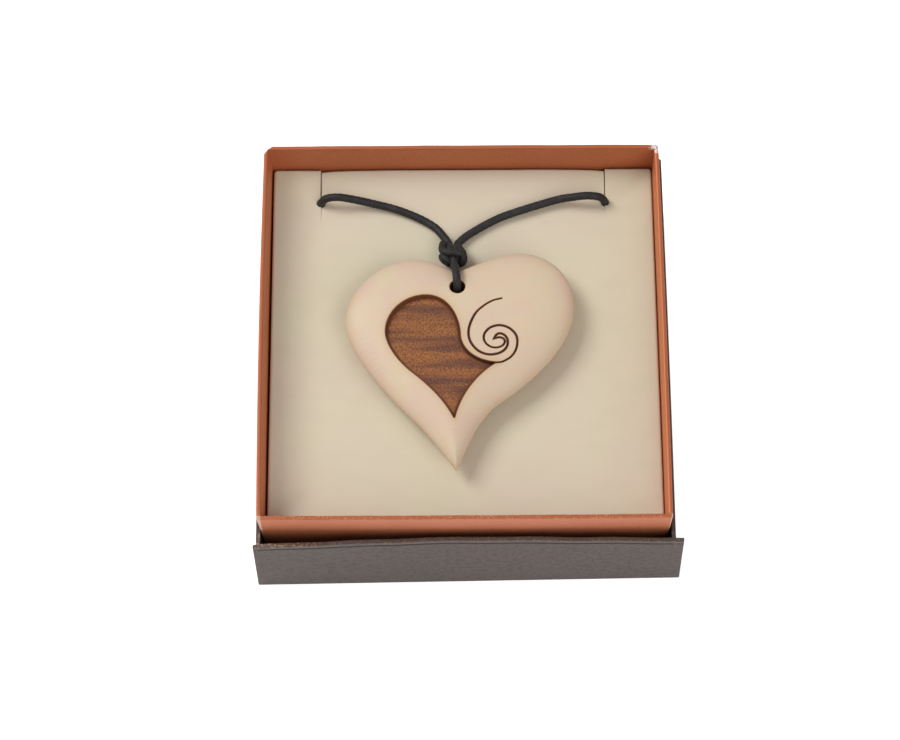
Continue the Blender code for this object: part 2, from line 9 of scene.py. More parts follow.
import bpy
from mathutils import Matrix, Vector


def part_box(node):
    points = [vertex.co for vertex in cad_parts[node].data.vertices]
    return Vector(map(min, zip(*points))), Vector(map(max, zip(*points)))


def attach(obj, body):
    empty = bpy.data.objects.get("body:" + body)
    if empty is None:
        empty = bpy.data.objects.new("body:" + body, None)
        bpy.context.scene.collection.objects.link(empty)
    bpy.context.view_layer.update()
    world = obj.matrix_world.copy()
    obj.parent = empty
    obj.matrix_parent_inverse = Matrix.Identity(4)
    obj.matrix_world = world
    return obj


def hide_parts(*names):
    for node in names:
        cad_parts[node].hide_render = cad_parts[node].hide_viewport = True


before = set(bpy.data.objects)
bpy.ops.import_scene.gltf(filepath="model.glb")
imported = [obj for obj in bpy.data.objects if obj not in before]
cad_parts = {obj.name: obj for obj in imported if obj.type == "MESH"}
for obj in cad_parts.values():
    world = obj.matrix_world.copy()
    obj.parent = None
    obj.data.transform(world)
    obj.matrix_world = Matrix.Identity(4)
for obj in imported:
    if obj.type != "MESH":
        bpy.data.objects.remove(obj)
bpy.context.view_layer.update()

import math

import bmesh
import bpy
import numpy as np
from mathutils import Vector
from mathutils.geometry import delaunay_2d_cdt, interpolate_bezier

# %% [markdown]
# Most sizes are read from the model's own nodes, so that a finished piece can't drift away from
# the part it stands for. Points are written in millimetres from the tray's middle, because that
# is how a box maker measures, and `placed` turns them into the model's frame.

# %% Levels and half widths from the model
MM = 0.001
TRAY_LOW, TRAY_HIGH = (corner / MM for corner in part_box("tray_wrap"))
LID_LOW, LID_HIGH = (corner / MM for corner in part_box("lid_wrap"))
PAD_LOW, PAD_HIGH = (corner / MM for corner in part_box("pad_velvet"))
FOAM_LOW, FOAM_HIGH = (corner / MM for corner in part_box("pad_foam"))
HEART_LOW, HEART_HIGH = (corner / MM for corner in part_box("pendant_heart"))
KNOT_LOW, KNOT_HIGH = (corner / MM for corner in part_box("cord_knot"))
MIDDLE_Y = (TRAY_LOW.y + TRAY_HIGH.y) / 2
TRAY_HALF = TRAY_HIGH.x
RIM_Z = TRAY_HIGH.z
PAD_HALF = PAD_HIGH.x
PAD_TOP_Z = PAD_HIGH.z


def placed(points):
    """Millimetres from the tray's middle to metres in the model's frame."""
    return [Vector((x, y + MIDDLE_Y, z)) * MM for x, y, z in points]


print(f"rim {RIM_Z:.2f} mm, pad {PAD_TOP_Z:.2f} mm, heart face {HEART_HIGH.z:.2f} mm")

# %% [markdown]
# ## Camera and light
#
# The box is seen from in front and well above, through a long lens that keeps its sides nearly
# parallel. The light is a wide soft lamp to the upper left, a weaker one to the right, and an
# even white surround, as in a light tent: it leaves short blurred shadows inside the tray.

# %% Camera
def linked(name, data):
    """A new object in the scene."""
    item = bpy.data.objects.new(name, data)
    bpy.context.scene.collection.objects.link(item)
    return item


def aimed(item, place, target):
    """Stand a camera or a lamp somewhere and point it at its target."""
    item.location = place
    item.rotation_euler = (Vector(target) - item.location).to_track_quat("-Z", "Y").to_euler()
    return item


CAMERA_PLACE = Vector((-4.76, -249.98, 605.75)) * MM
CAMERA_TARGET = Vector((-3.30, -9.70, 36.05)) * MM
camera_data = bpy.data.cameras.new("camera")
camera_data.lens = 111.1
camera_data.sensor_width = 36.0
camera = aimed(linked("camera", camera_data), CAMERA_PLACE, CAMERA_TARGET)
bpy.context.scene.camera = camera
bpy.context.scene.view_settings.view_transform = "Standard"
print("camera distance", round((CAMERA_TARGET - CAMERA_PLACE).length, 3), "m")

# %% Lamps and surround
LAMPS = [
    # name, where it stands, edge length in metres, watts, colour
    ("key_lamp", (-0.62, 0.34, 0.78), 0.5, 6.8, (1.0, 0.985, 0.96)),
    ("fill_lamp", (0.55, -0.65, 0.75), 0.9, 5.0, (1.0, 0.975, 0.95)),
]
LAMP_TARGET = (0.0, 0.0, 0.03)
for name, place, edge, watts, colour in LAMPS:
    lamp_data = bpy.data.lights.new(name, "AREA")
    lamp_data.size = edge
    lamp_data.energy = watts
    lamp_data.color = colour
    aimed(linked(name, lamp_data), place, LAMP_TARGET)

surround = bpy.data.worlds.new("surround")
surround.use_nodes = True
background = surround.node_tree.nodes["Background"]
background.inputs["Color"].default_value = (1.0, 0.99, 0.975, 1.0)
background.inputs["Strength"].default_value = 0.41
bpy.context.scene.world = surround
print("lamps:", [lamp[0] for lamp in LAMPS])

# %% [markdown]
# ## Writing node trees as sums
#
# A node tree is easier to read as arithmetic. `Wire` wraps one socket, and the operators on it
# add Math nodes. Everything else goes through `Bench.node`, which sets a node's own options
# first and then feeds its sockets with numbers or wires. The same bench serves materials and
# Geometry Nodes, because both use the same Math node.

# %% A bench for node trees
class Wire:
    """One output socket; arithmetic on it adds Math nodes to its tree."""

    def __init__(self, bench, socket):
        self.bench = bench
        self.socket = socket

    def maths(self, operation, *others):
        """A Math node with this wire as its first value."""
        return self.bench.maths(operation, self, *others)

    def __add__(self, other):
        return self.maths("ADD", other)

    def __sub__(self, other):
        return self.maths("SUBTRACT", other)

    def __rsub__(self, other):
        return self.bench.maths("SUBTRACT", other, self)

    def __mul__(self, other):
        return self.maths("MULTIPLY", other)

    def __truediv__(self, other):
        return self.maths("DIVIDE", other)

    __radd__ = __add__
    __rmul__ = __mul__


class Bench:
    """A node tree under construction."""

    def __init__(self, tree):
        self.tree = tree

    def node(self, kind, settings=None, inputs=None, output=0):
        """Add one node: its own settings first, then its sockets, by name or by number."""
        item = self.tree.nodes.new(kind)
        for key, value in (settings or {}).items():
            setattr(item, key, value)
        for key, value in (inputs or {}).items():
            socket = item.inputs[key]
            if isinstance(value, Wire):
                self.tree.links.new(value.socket, socket)
            elif socket.type == "RGBA" and len(value) == 3:
                socket.default_value = (*value, 1.0)
            else:
                socket.default_value = value
        return Wire(self, item.outputs[output]) if item.outputs else None

    def maths(self, operation, *values):
        return self.node("ShaderNodeMath", {"operation": operation}, dict(enumerate(values)))

    def scaled(self, vector, scale):
        settings = {"operation": "SCALE"}
        return self.node("ShaderNodeVectorMath", settings, {0: vector, "Scale": scale})

    def out(self, wire, output):
        """Another output of the node that a wire comes from."""
        return Wire(self, wire.socket.node.outputs[output])


class Finish(Bench):
    """A material: place is the Object coordinate, and paint() feeds the Principled shader."""

    def __init__(self, name, **constants):
        self.material = bpy.data.materials.new(name)
        self.material.use_nodes = True
        super().__init__(self.material.node_tree)
        self.shader = self.tree.nodes["Principled BSDF"]
        self.place = self.node("ShaderNodeTexCoord", output="Object")
        for key, value in constants.items():
            self.shader.inputs[key.replace("_", " ")].default_value = value

    def paint(self, **wires):
        for key, value in wires.items():
            self.tree.links.new(value.socket, self.shader.inputs[key.replace("_", " ")])
        return self.material

    def noise(self, scale, detail=3.0, vector=None, distortion=0.0):
        return self.node("ShaderNodeTexNoise", None, {
            "Vector": vector or self.place, "Scale": scale, "Detail": detail,
            "Distortion": distortion}, "Fac")

    def grain(self, scale, detail=3.0, turn=0.0, distortion=0.0):
        """Noise with its own scale on each axis, turned about z, for grain that runs one way."""
        stretched = self.node("ShaderNodeMapping", None, {
            "Vector": self.place, "Scale": scale, "Rotation": (0.0, 0.0, turn)})
        return self.noise(1.0, detail, stretched, distortion)

    def rise(self, value, low, high):
        """0 below low, 1 above high, smooth between; falls instead if low is above high."""
        return self.node("ShaderNodeMapRange", {"interpolation_type": "SMOOTHSTEP"}, {
            "Value": value, "From Min": low, "From Max": high})

    def mix(self, share, first, second):
        return self.node("ShaderNodeMix", {"data_type": "RGBA"}, {0: share, 6: first, 7: second}, 2)

    def coats(self, colour, *coats):
        """Lay coats over a colour; each one says how much of it shows, and its colour."""
        for share, coat in coats:
            colour = self.mix(share, colour, coat)
        return colour

    def bump(self, height, depth, strength):
        return self.node("ShaderNodeBump", None, {
            "Height": height, "Distance": depth, "Strength": strength})

    def attribute(self, name):
        return self.node("ShaderNodeAttribute", {"attribute_name": name}, None, "Fac")

    def axes(self):
        """The x, y and z of the Object coordinate, in metres."""
        split = self.node("ShaderNodeSeparateXYZ", None, {0: self.place})
        return split, self.out(split, 1), self.out(split, 2)


print("bench ready")

# %% Meshes and finished pieces
def piece_of(mesh, form, finish, sharp=None):
    """A mesh object from its bmesh, faces outward, smooth except past the sharp angle."""
    bmesh.ops.recalc_face_normals(form, faces=form.faces)
    form.to_mesh(mesh)
    form.free()
    mesh.shade_smooth()
    if sharp is not None:
        mesh.set_sharp_from_angle(angle=math.radians(sharp))
    mesh.materials.append(finish)
    return linked(mesh.name, mesh)


def mesh_piece(name, points, faces, finish, sharp=None):
    """A mesh object from points in metres."""
    mesh = bpy.data.meshes.new(name)
    mesh.from_pydata([tuple(point) for point in points], [], faces)
    form = bmesh.new()
    form.from_mesh(mesh)
    return piece_of(mesh, form, finish, sharp)


def evaluated(piece):
    """Apply a piece's modifiers for good; a curve gives way to a mesh of the same name."""
    graph = bpy.context.evaluated_depsgraph_get()
    mesh = bpy.data.meshes.new_from_object(piece.evaluated_get(graph))
    piece.modifiers.clear()
    if piece.type == "MESH":
        piece.data = mesh
        return piece
    name = piece.name
    bpy.data.objects.remove(piece)
    return linked(name, mesh)


def finished(piece, body, slot, *nodes):
    """Fix a piece to its body and hide the model's nodes that it stands for."""
    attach(piece, body)
    if nodes:
        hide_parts(*nodes)
    print(f"{piece.name}: {len(piece.data.polygons)} faces, rides {body}")


def painted(nodes, material):
    """Give a finish to nodes that keep the model's own shape."""
    for name in nodes:
        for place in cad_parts[name].material_slots:
            place.material = material
    print("painted", ", ".join(nodes), "with", material.name)


print("helpers ready")

# %% [markdown]
# ## The floor
#
# The box stands on a white table. A little light of its own keeps the table white under the
# soft shadows, as an overexposed studio table looks.

# %% Floor
table = Finish("white_table", Roughness=0.9, Base_Color=(0.93, 0.93, 0.925, 1.0),
               Emission_Color=(1.0, 1.0, 1.0, 1.0), Emission_Strength=0.6)
corners = [(-2.0, -2.0), (2.0, -2.0), (2.0, 2.0), (-2.0, 2.0)]
below = -0.0002
floor = mesh_piece("floor", [(x, y, below) for x, y in corners], [(0, 1, 2, 3)], table.material)
print("floor laid")

# %% [markdown]
# ## The cord
#
# A waxed cotton necklace cord is limp: it lies where it is put and takes wide easy bends. Its
# two free stretches run from the knot over the pad and down the slits, and the rest is wound
# in two layers under the card platform. The whole route is written as points and smoothed, so
# the cord keeps one length. Its braid could be a bump, but real strands catch the light at the
# cord's edge, so Geometry Nodes raise them on a tube that follows the route.

# %% The cord's route
CORD = 1.8
CORD_GAP = 0.15
PLATFORM_UNDER_Z = 16.45
KNOT = Vector((-2.4, 21.3, PAD_TOP_Z + CORD_GAP + CORD / 2))
SLIT = Vector((33.0, 35.85, PAD_TOP_Z + CORD_GAP + CORD / 2))
COIL_Y = 8.0
COIL_RADII = (9.4, 11.3)
COIL_PITCH = 1.9
COIL_LOW_Z = 4.6
COIL_STEPS = 16  # points in one turn
INNER_TURNS = 4.25  # counted from the start, as the next two are
CROSSED_TURNS = 73 / COIL_STEPS
ALL_TURNS = 135 / COIL_STEPS
FROM_KNOT = {
    -1: [(-1.0, 3.5, 0.3), (-2.2, 5.4, 0.1), (-4.2, 7.8, 0.0), (-7.8, 10.1, 0.0),
         (-12.9, 12.3, 0.1)],
    1: [(1.1, 3.4, 0.3), (2.6, 5.0, 0.1), (5.2, 6.9, 0.0), (8.9, 9.1, 0.0), (13.1, 11.0, 0.1)],
}
FROM_SLIT = {
    -1: [(12.4, -0.9, 0.5), (7.6, -0.3, 1.7), (4.0, 0.0, 2.3), (1.2, 0.0, 1.5), (0.0, 0.0, -1.3)],
    1: [(-12.0, -0.3, 0.5), (-7.2, 0.1, 1.6), (-3.9, 0.1, 2.2), (-1.2, 0.0, 1.5), (0.0, 0.0, -1.3)],
}
# Under the card, in cord turns: inwards and forwards from the slit, then outwards and back from
# the coil. The last number is how far down.
PAST_SLIT = [(0.35, 0.35, 0.55), (1.6, 1.3, 0.8), (3.6, 2.9, 0.6)]
TO_COIL = [(0.8, 3.0, 0.4), (0.35, 1.7, 0.35)]


def strand(side):
    """One free stretch: knot, over the pad, down its slit, under the platform to the coil."""
    slit = Vector((side * SLIT.x, SLIT.y, SLIT.z))
    turn = 2 * CORD
    under = PLATFORM_UNDER_Z - CORD_GAP - CORD / 2
    coil = Vector((side * (COIL_RADII[1] + CORD / 2), COIL_Y, under))
    points = [KNOT + Vector(offset) for offset in FROM_KNOT[side]]
    points += [slit + Vector(offset) for offset in FROM_SLIT[side]]
    points.append(Vector((slit.x, slit.y, (PAD_TOP_Z + PLATFORM_UNDER_Z) / 2)))
    points.append(Vector((slit.x, slit.y, PLATFORM_UNDER_Z)))
    points += [Vector((slit.x - side * turn * inward, slit.y - turn * forward, under - turn * down))
               for inward, forward, down in PAST_SLIT]
    points += [coil + Vector((side * turn * outward, turn * back, -turn * down))
               for outward, back, down in TO_COIL]
    return points


def even_row(points, spacing):
    """The same line through evenly spaced points, and its length."""
    walked = np.concatenate([[0.0], np.cumsum(np.linalg.norm(np.diff(points, axis=0), axis=1))])
    even = np.linspace(0.0, walked[-1], max(2, round(walked[-1] / spacing)) + 1)
    return np.stack([np.interp(even, walked, axis) for axis in points.T], axis=1), walked[-1]


def smooth_route(points, spacing):
    """An even row of points on a smooth curve through the given ones, and its length."""
    row = [2 * points[0] - points[1]] + points + [2 * points[-1] - points[-2]]
    fine = []
    for before, start, end, after in zip(row, row[1:], row[2:], row[3:]):
        handles = (start + (end - before) / 6, end - (after - start) / 6)
        fine += interpolate_bezier(start, *handles, end, 24)[:-1]
    return even_row(np.array(fine + [points[-1]]), spacing)


def coil():
    """Down the inner layer, across at the bottom and up the outer one."""
    inner, outer = COIL_RADII
    points = []
    for step in range(1, round(ALL_TURNS * COIL_STEPS) + 1):
        turns = step / COIL_STEPS
        across = min(1.0, max(0.0, (turns - 4.0) / 0.5))
        radius = inner + (outer - inner) * across * across * (3 - 2 * across)
        angle = math.pi + 2 * math.pi * turns
        rows = max(0.0, INNER_TURNS - turns) + max(0.0, turns - CROSSED_TURNS)
        points.append(Vector((radius * math.cos(angle), COIL_Y + radius * math.sin(angle),
                              COIL_LOW_Z + COIL_PITCH * rows)))
    return points


route_points = strand(-1) + coil() + strand(1)[::-1]
route, cord_length = smooth_route(route_points, 0.7)
print(f"cord {cord_length:.1f} mm along {len(route)} points")

# %% [markdown]
# The braid is a rule on the tube: two families of slanting strands cross, and in each diamond
# one of them lies on top. `around` counts diamonds round the cord and `along` counts them down
# its length, so their sum and difference are the two slants. The tree has named inputs for its
# sizes and stores the strands' height, which the finish reads for its colour: painted shade,
# darker down between the strands and lighter on their crowns.

# %% Geometry Nodes: a braided cord on any curve
def begun_tree(name, sockets):
    """A tree with named inputs: its bench, the geometry that comes in, and the inputs' wires."""
    tree = bpy.data.node_groups.new(name, "GeometryNodeTree")
    tree.interface.new_socket("Geometry", in_out="INPUT", socket_type="NodeSocketGeometry")
    tree.interface.new_socket("Geometry", in_out="OUTPUT", socket_type="NodeSocketGeometry")
    for socket_name, kind, default in sockets:
        socket_type = "NodeSocket" + kind
        socket = tree.interface.new_socket(socket_name, in_out="INPUT", socket_type=socket_type)
        if default is not None:
            socket.default_value = default
    bench = Bench(tree)
    given = bench.node("NodeGroupInput", output="Geometry")
    return bench, given, {socket[0]: bench.out(given, socket[0]) for socket in sockets}


def ended_tree(bench, geometry, material):
    """Make the geometry real, dress it and send it out of the tree."""
    real = bench.node("GeometryNodeRealizeInstances", None, {"Geometry": geometry})
    dressed = bench.node("GeometryNodeSetMaterial", None, {"Geometry": real, "Material": material})
    bench.node("NodeGroupOutput", None, {"Geometry": dressed})
    return bench.tree


def braid_tree():
    bench, given, sizes = begun_tree("braided_cord", [
        ("Radius", "Float", 0.0009),
        ("Sides", "Int", 30),
        ("Spacing", "Float", 0.00034),
        ("Diamonds Around", "Int", 6),
        ("Diamond Length", "Float", 0.0013),
        ("Relief", "Float", 0.00011),
        ("Material", "Material", None),
    ])
    line = bench.node("GeometryNodeResampleCurve", {"mode": "LENGTH"}, {
        "Curve": given, "Length": sizes["Spacing"]})
    length = bench.node("GeometryNodeSplineParameter", output="Length")
    line, walked = captured(bench, line, length)
    ring = bench.node("GeometryNodeCurvePrimitiveCircle", None, {
        "Resolution": sizes["Sides"], "Radius": sizes["Radius"]})
    turn = bench.node("GeometryNodeSplineParameter", output="Factor")
    ring, turned = captured(bench, ring, turn)
    tube = bench.node("GeometryNodeCurveToMesh", None, {
        "Curve": line, "Profile Curve": ring, "Fill Caps": True})
    around = turned * sizes["Diamonds Around"]
    along = walked / sizes["Diamond Length"]
    first, second = around + along, around - along
    layer = (first.maths("FLOOR") + second.maths("FLOOR")).maths("PINGPONG", 1.0)
    crown_first = (first.maths("FRACT") * math.pi).maths("SINE")
    crown_second = (second.maths("FRACT") * math.pi).maths("SINE")
    over_first = crown_first.maths("POWER", 0.5) * (0.45 + 0.55 * crown_second)
    over_second = crown_second.maths("POWER", 0.5) * (0.45 + 0.55 * crown_first)
    height = over_first * layer + over_second * (1 - layer)
    normal = bench.node("GeometryNodeInputNormal")
    offset = bench.scaled(normal, (height - 0.6) * sizes["Relief"])
    raised = bench.node("GeometryNodeSetPosition", None, {"Geometry": tube, "Offset": offset})
    settings = {"data_type": "FLOAT", "domain": "POINT"}
    stored = bench.node("GeometryNodeStoreNamedAttribute", settings, {
        "Geometry": raised, "Name": "braid", "Value": height})
    return ended_tree(bench, stored, sizes["Material"])


def captured(bench, geometry, value):
    """Carry a value along with a curve's points; returns the curve and the value."""
    item = bench.tree.nodes.new("GeometryNodeCaptureAttribute")
    item.capture_items.new("FLOAT", "Carried")
    bench.tree.links.new(geometry.socket, item.inputs[0])
    bench.tree.links.new(value.socket, item.inputs[1])
    return Wire(bench, item.outputs[0]), Wire(bench, item.outputs[1])


def grown(piece, tree, **sizes):
    """Run a tree on a piece with the given inputs and keep the result as a plain mesh."""
    step = piece.modifiers.new(tree.name, "NODES")
    step.node_group = tree
    for item in tree.interface.items_tree:
        if item.item_type == "SOCKET" and item.in_out == "INPUT" and item.name in sizes:
            step[item.identifier] = sizes[item.name]
    piece = evaluated(piece)
    piece.data.shade_smooth()
    return piece


BRAID = braid_tree()
print("braid tree:", len(BRAID.nodes), "nodes")

# %% The waxed cord's finish
def waxed_cord():
    wax = Finish("waxed_cord", Sheen_Weight=0.02, Coat_Roughness=0.35)
    raised = wax.attribute("braid")
    fibre = wax.noise(5200.0, 2.0)
    patch = wax.noise(700.0, 2.0)
    # Painted shade: the cord is darker down between its strands and lighter on their crowns
    deep = wax.mix(wax.rise(raised, 0.25, 0.85), (0.002, 0.0018, 0.002), (0.014, 0.012, 0.014))
    dust = wax.rise(patch, 0.5, 0.72) * wax.rise(fibre, 0.5, 0.66)
    dusty = wax.mix(dust, deep, (0.065, 0.06, 0.066))
    rough = 0.5 + 0.3 * fibre
    return wax.paint(Base_Color=dusty, Roughness=rough, Normal=wax.bump(fibre, 0.00006, 0.5))


CORD_FINISH = waxed_cord()


def curve_through(name, rows, radii=None):
    """A curve object with a spline for each row of points, given as for placed()."""
    curve = bpy.data.curves.new(name, "CURVE")
    curve.dimensions = "3D"
    for number, row in enumerate(rows):
        spline = curve.splines.new("POLY")
        spline.points.add(len(row) - 1)
        for step, (place, point) in enumerate(zip(spline.points, placed(row))):
            place.co = (*point, 1.0)
            place.radius = 1.0 if radii is None else radii[number][step]
    return linked(name, curve)


# %% The necklace cord
cord = curve_through("necklace_cord", [route])
cord = grown(cord, BRAID, Material=CORD_FINISH)
finished(cord, "insert", "black_cord", "cord_left", "cord_right", "cord_coil")
path = placed(route)

# %% [markdown]
# ## The maple heart
#
# The heart is sanded from a flat piece of maple: nearly flat in the middle, well rounded at
# its edge. A router or a laser cut the smaller half heart into its face and burnt the walls,
# and a fine burnt line curls into a spiral beside it. A sculpted mesh or booleans could carry
# that, but the burnt edges need crisp lines in the mesh. So each face is a triangulated drawing:
# rows of points follow every outline, a loose grid fills the rest, and a height is worked out
# for every point from its distance to the outlines.

# %% The heart's outlines
HEART_OUTLINE = [
    ((-1.8, 16.0), (-0.4, 16.1), (-3.2, 16.1)),
    ((-10.6, 19.1), (-6.4, 18.9), (-18.6, 19.5)),
    ((-26.9, 3.4), (-27.0, 11.6), (-26.8, -3.6)),
    ((-12.0, -19.8), (-17.2, -14.6), (-8.2, -23.6)),
    ((-2.0, -32.4), (-5.0, -28.2), (-0.6, -29.8)),
    ((7.8, -16.3), (2.2, -20.2), (13.4, -12.4)),
    ((24.9, 6.6), (24.3, -3.6), (25.4, 14.8)),
    ((11.4, 20.4), (19.6, 21.2), (6.4, 19.9)),
]
RECESS_OUTLINE = [
    ((-17.7, 0.1), (-17.8, -2.6), (-17.6, 4.6)),
    ((-8.8, 8.7), (-13.6, 8.6), (-3.6, 8.8)),
    ((-1.0, -1.0), (-1.1, 3.2), (-0.9, -4.6)),
    ((7.0, -7.8), (2.4, -7.6), (2.6, -10.4)),
    ((-2.4, -21.0), (-1.2, -15.6), (-4.8, -16.2)),
    ((-12.4, -9.4), (-8.4, -12.8), (-15.6, -6.4)),
]
SPIRAL_ARMS = [
    [(6.64, -2.07), (7.9, -1.81), (8.75, -2.16), (9.05, -2.87), (8.52, -3.8), (7.21, -4.3),
     (5.94, -4.12), (4.87, -3.31), (4.35, -2.13), (4.59, -0.73), (5.77, 0.56), (7.51, 1.14),
     (9.22, 0.88), (10.71, -0.07), (11.76, -1.72), (11.72, -4.07), (10.61, -6.16), (8.67, -7.53),
     (6.96, -7.88)],
    [(6.64, -2.07), (7.26, -1.1), (8.12, -0.86), (9.18, -1.45), (9.71, -2.63), (9.48, -4.05),
     (8.5, -5.19), (6.77, -5.88), (4.84, -5.87), (2.92, -4.93), (1.44, -3.03), (0.92, -0.92),
     (1.26, 1.41), (2.6, 4.23), (4.56, 6.12), (6.52, 7.29), (8.24, 7.75)],
]
HOLE = (-1.5, 11.0)
HOLE_RADIUS = 1.7


def traced(outline, spacing):
    """Even points on a closed outline of curves, in millimetres."""
    fine = []
    for here, after in zip(outline, outline[1:] + outline[:1]):
        corners = [Vector((*pair, 0.0)) for pair in (here[0], here[2], after[1], after[0])]
        fine += interpolate_bezier(*corners, 40)[:-1]
    row, _ = even_row(np.array([point[:2] for point in fine + fine[:1]]), spacing)
    return row[:-1]


def distance(points, line, closed=True):
    """Distance from each point to a line of points."""
    ends = np.roll(line, -1, axis=0) if closed else line[1:]
    nearest = np.full(len(points), 1e9)
    for start, end in zip(line, ends):
        along = end - start
        share = np.clip((points - start) @ along / (along @ along), 0.0, 1.0)
        away = points - start - share[:, None] * along
        nearest = np.minimum(nearest, np.linalg.norm(away, axis=1))
    return nearest


def inside(points, line):
    """Which points lie inside a closed line."""
    odd = np.zeros(len(points), bool)
    for (x1, y1), (x2, y2) in zip(line, np.roll(line, -1, axis=0)):
        if y1 == y2:
            continue
        crosses = (points[:, 1] > y1) != (points[:, 1] > y2)
        odd ^= crosses & (points[:, 0] < x1 + (points[:, 1] - y1) * (x2 - x1) / (y2 - y1))
    return odd


def beside(line, offset, closed=True):
    """A row of points at a distance to the left of a line."""
    if closed:
        along = np.roll(line, -1, axis=0) - np.roll(line, 1, axis=0)
    else:
        along = np.gradient(line, axis=0)
    along = along / np.linalg.norm(along, axis=1)[:, None]
    return line + offset * np.stack([-along[:, 1], along[:, 0]], axis=1)


EDGE = traced(HEART_OUTLINE, 0.45)
RECESS = traced(RECESS_OUTLINE, 0.3)
ARMS = []
for arm in SPIRAL_ARMS:
    smooth, _ = smooth_route([Vector((x, y, 0.0)) for x, y in arm], 0.25)
    ARMS.append(smooth[:, :2])
print("edge", len(EDGE), "recess", len(RECESS), "spiral", [len(arm) for arm in ARMS])

# %% [markdown]
# The rounding of the face is an ellipse over the distance from the edge. The plain distance has
# a crease along the middle of the narrow tip, so further in it is traded for a softened one,
# which adds up all of the edge at once.

# %% Heights of the two faces
HEART_MIDDLE_Z = (HEART_LOW.z + HEART_HIGH.z) / 2
HALF_THICK = (HEART_HIGH.z - HEART_LOW.z) / 2
RECESS_FLOOR_Z = HEART_HIGH.z - 1.2
GROOVE_DEPTH = 0.34
GROOVE_HALF = 0.25
THIN_END, THIN_BY = 9.0, 0.07  # how long an arm's thin end is, and how much narrower it ends
HOLE_DENT, DENT_WIDTH = 0.22, 0.35


def soft_distance(points, line):
    """The distance to a closed line with its creases smoothed out."""
    step = np.linalg.norm(np.roll(line, -1, axis=0) - line, axis=1)
    total = np.zeros(len(points))
    for place, length in zip(line, step):
        total += length * ((points - place) ** 2).sum(axis=1) ** -2.5
    return (total / 1.3333) ** -0.25


def depth_from_edge(points):
    plain = distance(points, EDGE)
    share = np.clip((plain - 1.5) / 2.5, 0.0, 1.0)
    share = share * share * (3 - 2 * share)
    soft = np.where(share > 0, soft_distance(points, EDGE), plain)
    return plain * (1 - share) + np.minimum(soft, plain * 1.25) * share


def rounding(depth, reach, power):
    left = np.clip(1 - depth / reach, 0.0, 1.0)
    return (1 - left ** power) ** (1 / power)


def ramp(value, low, high):
    """0 below low, 1 above high, smooth between."""
    share = np.clip((value - low) / (high - low), 0.0, 1.0)
    return share * share * (3 - 2 * share)


def round_hole(points):
    """How far each point is sunk by the rubbed edge of the hole, and how burnt it is."""
    from_hole = np.linalg.norm(points - HOLE, axis=1) - HOLE_RADIUS
    dent = HOLE_DENT * np.clip(1 - from_hole / DENT_WIDTH, 0.0, 1.0) ** 2
    return dent, 1 - ramp(from_hole, 0.0, 0.2)


def front_face(points):
    """Height of the front face, and how burnt each point is."""
    height = HEART_MIDDLE_Z + HALF_THICK * rounding(depth_from_edge(points), 11.0, 2.1)
    from_recess = distance(points, RECESS)
    in_recess = inside(points, RECESS) & (from_recess > 0.02)
    floor = RECESS_FLOOR_Z + 0.05 * np.sin(points[:, 1] * 1.9 + np.sin(points[:, 0] * 0.4))
    sunk = np.where(in_recess, ramp(from_recess, 0.0, 0.16), 0.0)
    height = height * (1 - sunk) + floor * sunk
    from_line = np.full(len(points), 1e9)
    for arm in ARMS:
        reach = distance(points, arm, closed=False)
        tail = np.linalg.norm(points - arm[-1], axis=1)
        from_line = np.minimum(from_line, reach + THIN_BY * (1 - ramp(tail, 0.0, THIN_END)))
    groove = np.clip(1 - (from_line / GROOVE_HALF) ** 2, 0.0, 1.0) * (~in_recess)
    dent, burnt_hole = round_hole(points)
    height = height - GROOVE_DEPTH * groove - dent
    outside = np.where(in_recess, 0.0, from_recess)
    burn = 1 - ramp(outside, 0.06, 0.3)
    burn = np.where(in_recess, 1 - 0.9 * ramp(from_recess, 0.1, 0.75), burn)
    burn = np.maximum(burn, np.where(in_recess, 0.0, 1 - ramp(from_line, 0.19, 0.36)))
    burn = np.maximum(burn, burnt_hole)
    halo = np.where(in_recess, 0.0, np.exp(-outside / 1.1) + 0.5 * np.exp(-from_line / 0.7))
    floor_share = np.where(in_recess, ramp(from_recess, 0.02, 0.2), 0.0)
    return height, {"burn": burn, "halo": halo, "floor": floor_share}


def back_face(points):
    """Height of the plain back face, burnt only at the hole."""
    dent, burnt_hole = round_hole(points)
    height = HEART_MIDDLE_Z - HALF_THICK * rounding(depth_from_edge(points), 15.0, 1.6) + dent
    plain = np.zeros(len(points))
    return height, {"burn": burnt_hole, "halo": plain, "floor": plain}


# %% Triangulating a face
CELL = 0.3  # a grid point keeps out of the cells round every outline's point


def circle(radius, count=40):
    turns = np.arange(count) * 2 * math.pi / count
    return np.stack([HOLE[0] + radius * np.cos(turns), HOLE[1] + radius * np.sin(turns)], axis=1)


def face_points(rows, spacing, seed):
    """Rows of points, with a jittered grid wherever they leave room."""
    rows = np.concatenate(rows)
    rows = rows[inside(rows, EDGE) & (np.linalg.norm(rows - HOLE, axis=1) > HOLE_RADIUS + 0.05)]
    rows = rows[distance(rows, EDGE) > 0.02]
    generator = np.random.default_rng(seed)
    low, high = EDGE.min(axis=0), EDGE.max(axis=0)
    across = np.arange(low[0], high[0], spacing)
    upward = np.arange(low[1], high[1], spacing * 0.87)
    grid = np.array([(x + spacing / 2 * (row % 2), y)
                     for row, y in enumerate(upward) for x in across])
    grid += generator.uniform(-0.15, 0.15, grid.shape) * spacing
    grid = grid[inside(grid, EDGE) & (distance(grid, EDGE) > 0.6 * spacing)]
    grid = grid[np.linalg.norm(grid - HOLE, axis=1) > HOLE_RADIUS + 0.5 * spacing]
    taken = {(x, y) for x, y in (rows // CELL).astype(int)}
    near = [(a, b) for a in (-1, 0, 1) for b in (-1, 0, 1)]
    cells = (grid // CELL).astype(int)
    free = [not any((x + a, y + b) in taken for a, b in near) for x, y in cells]
    return np.concatenate([rows, grid[np.array(free)]])


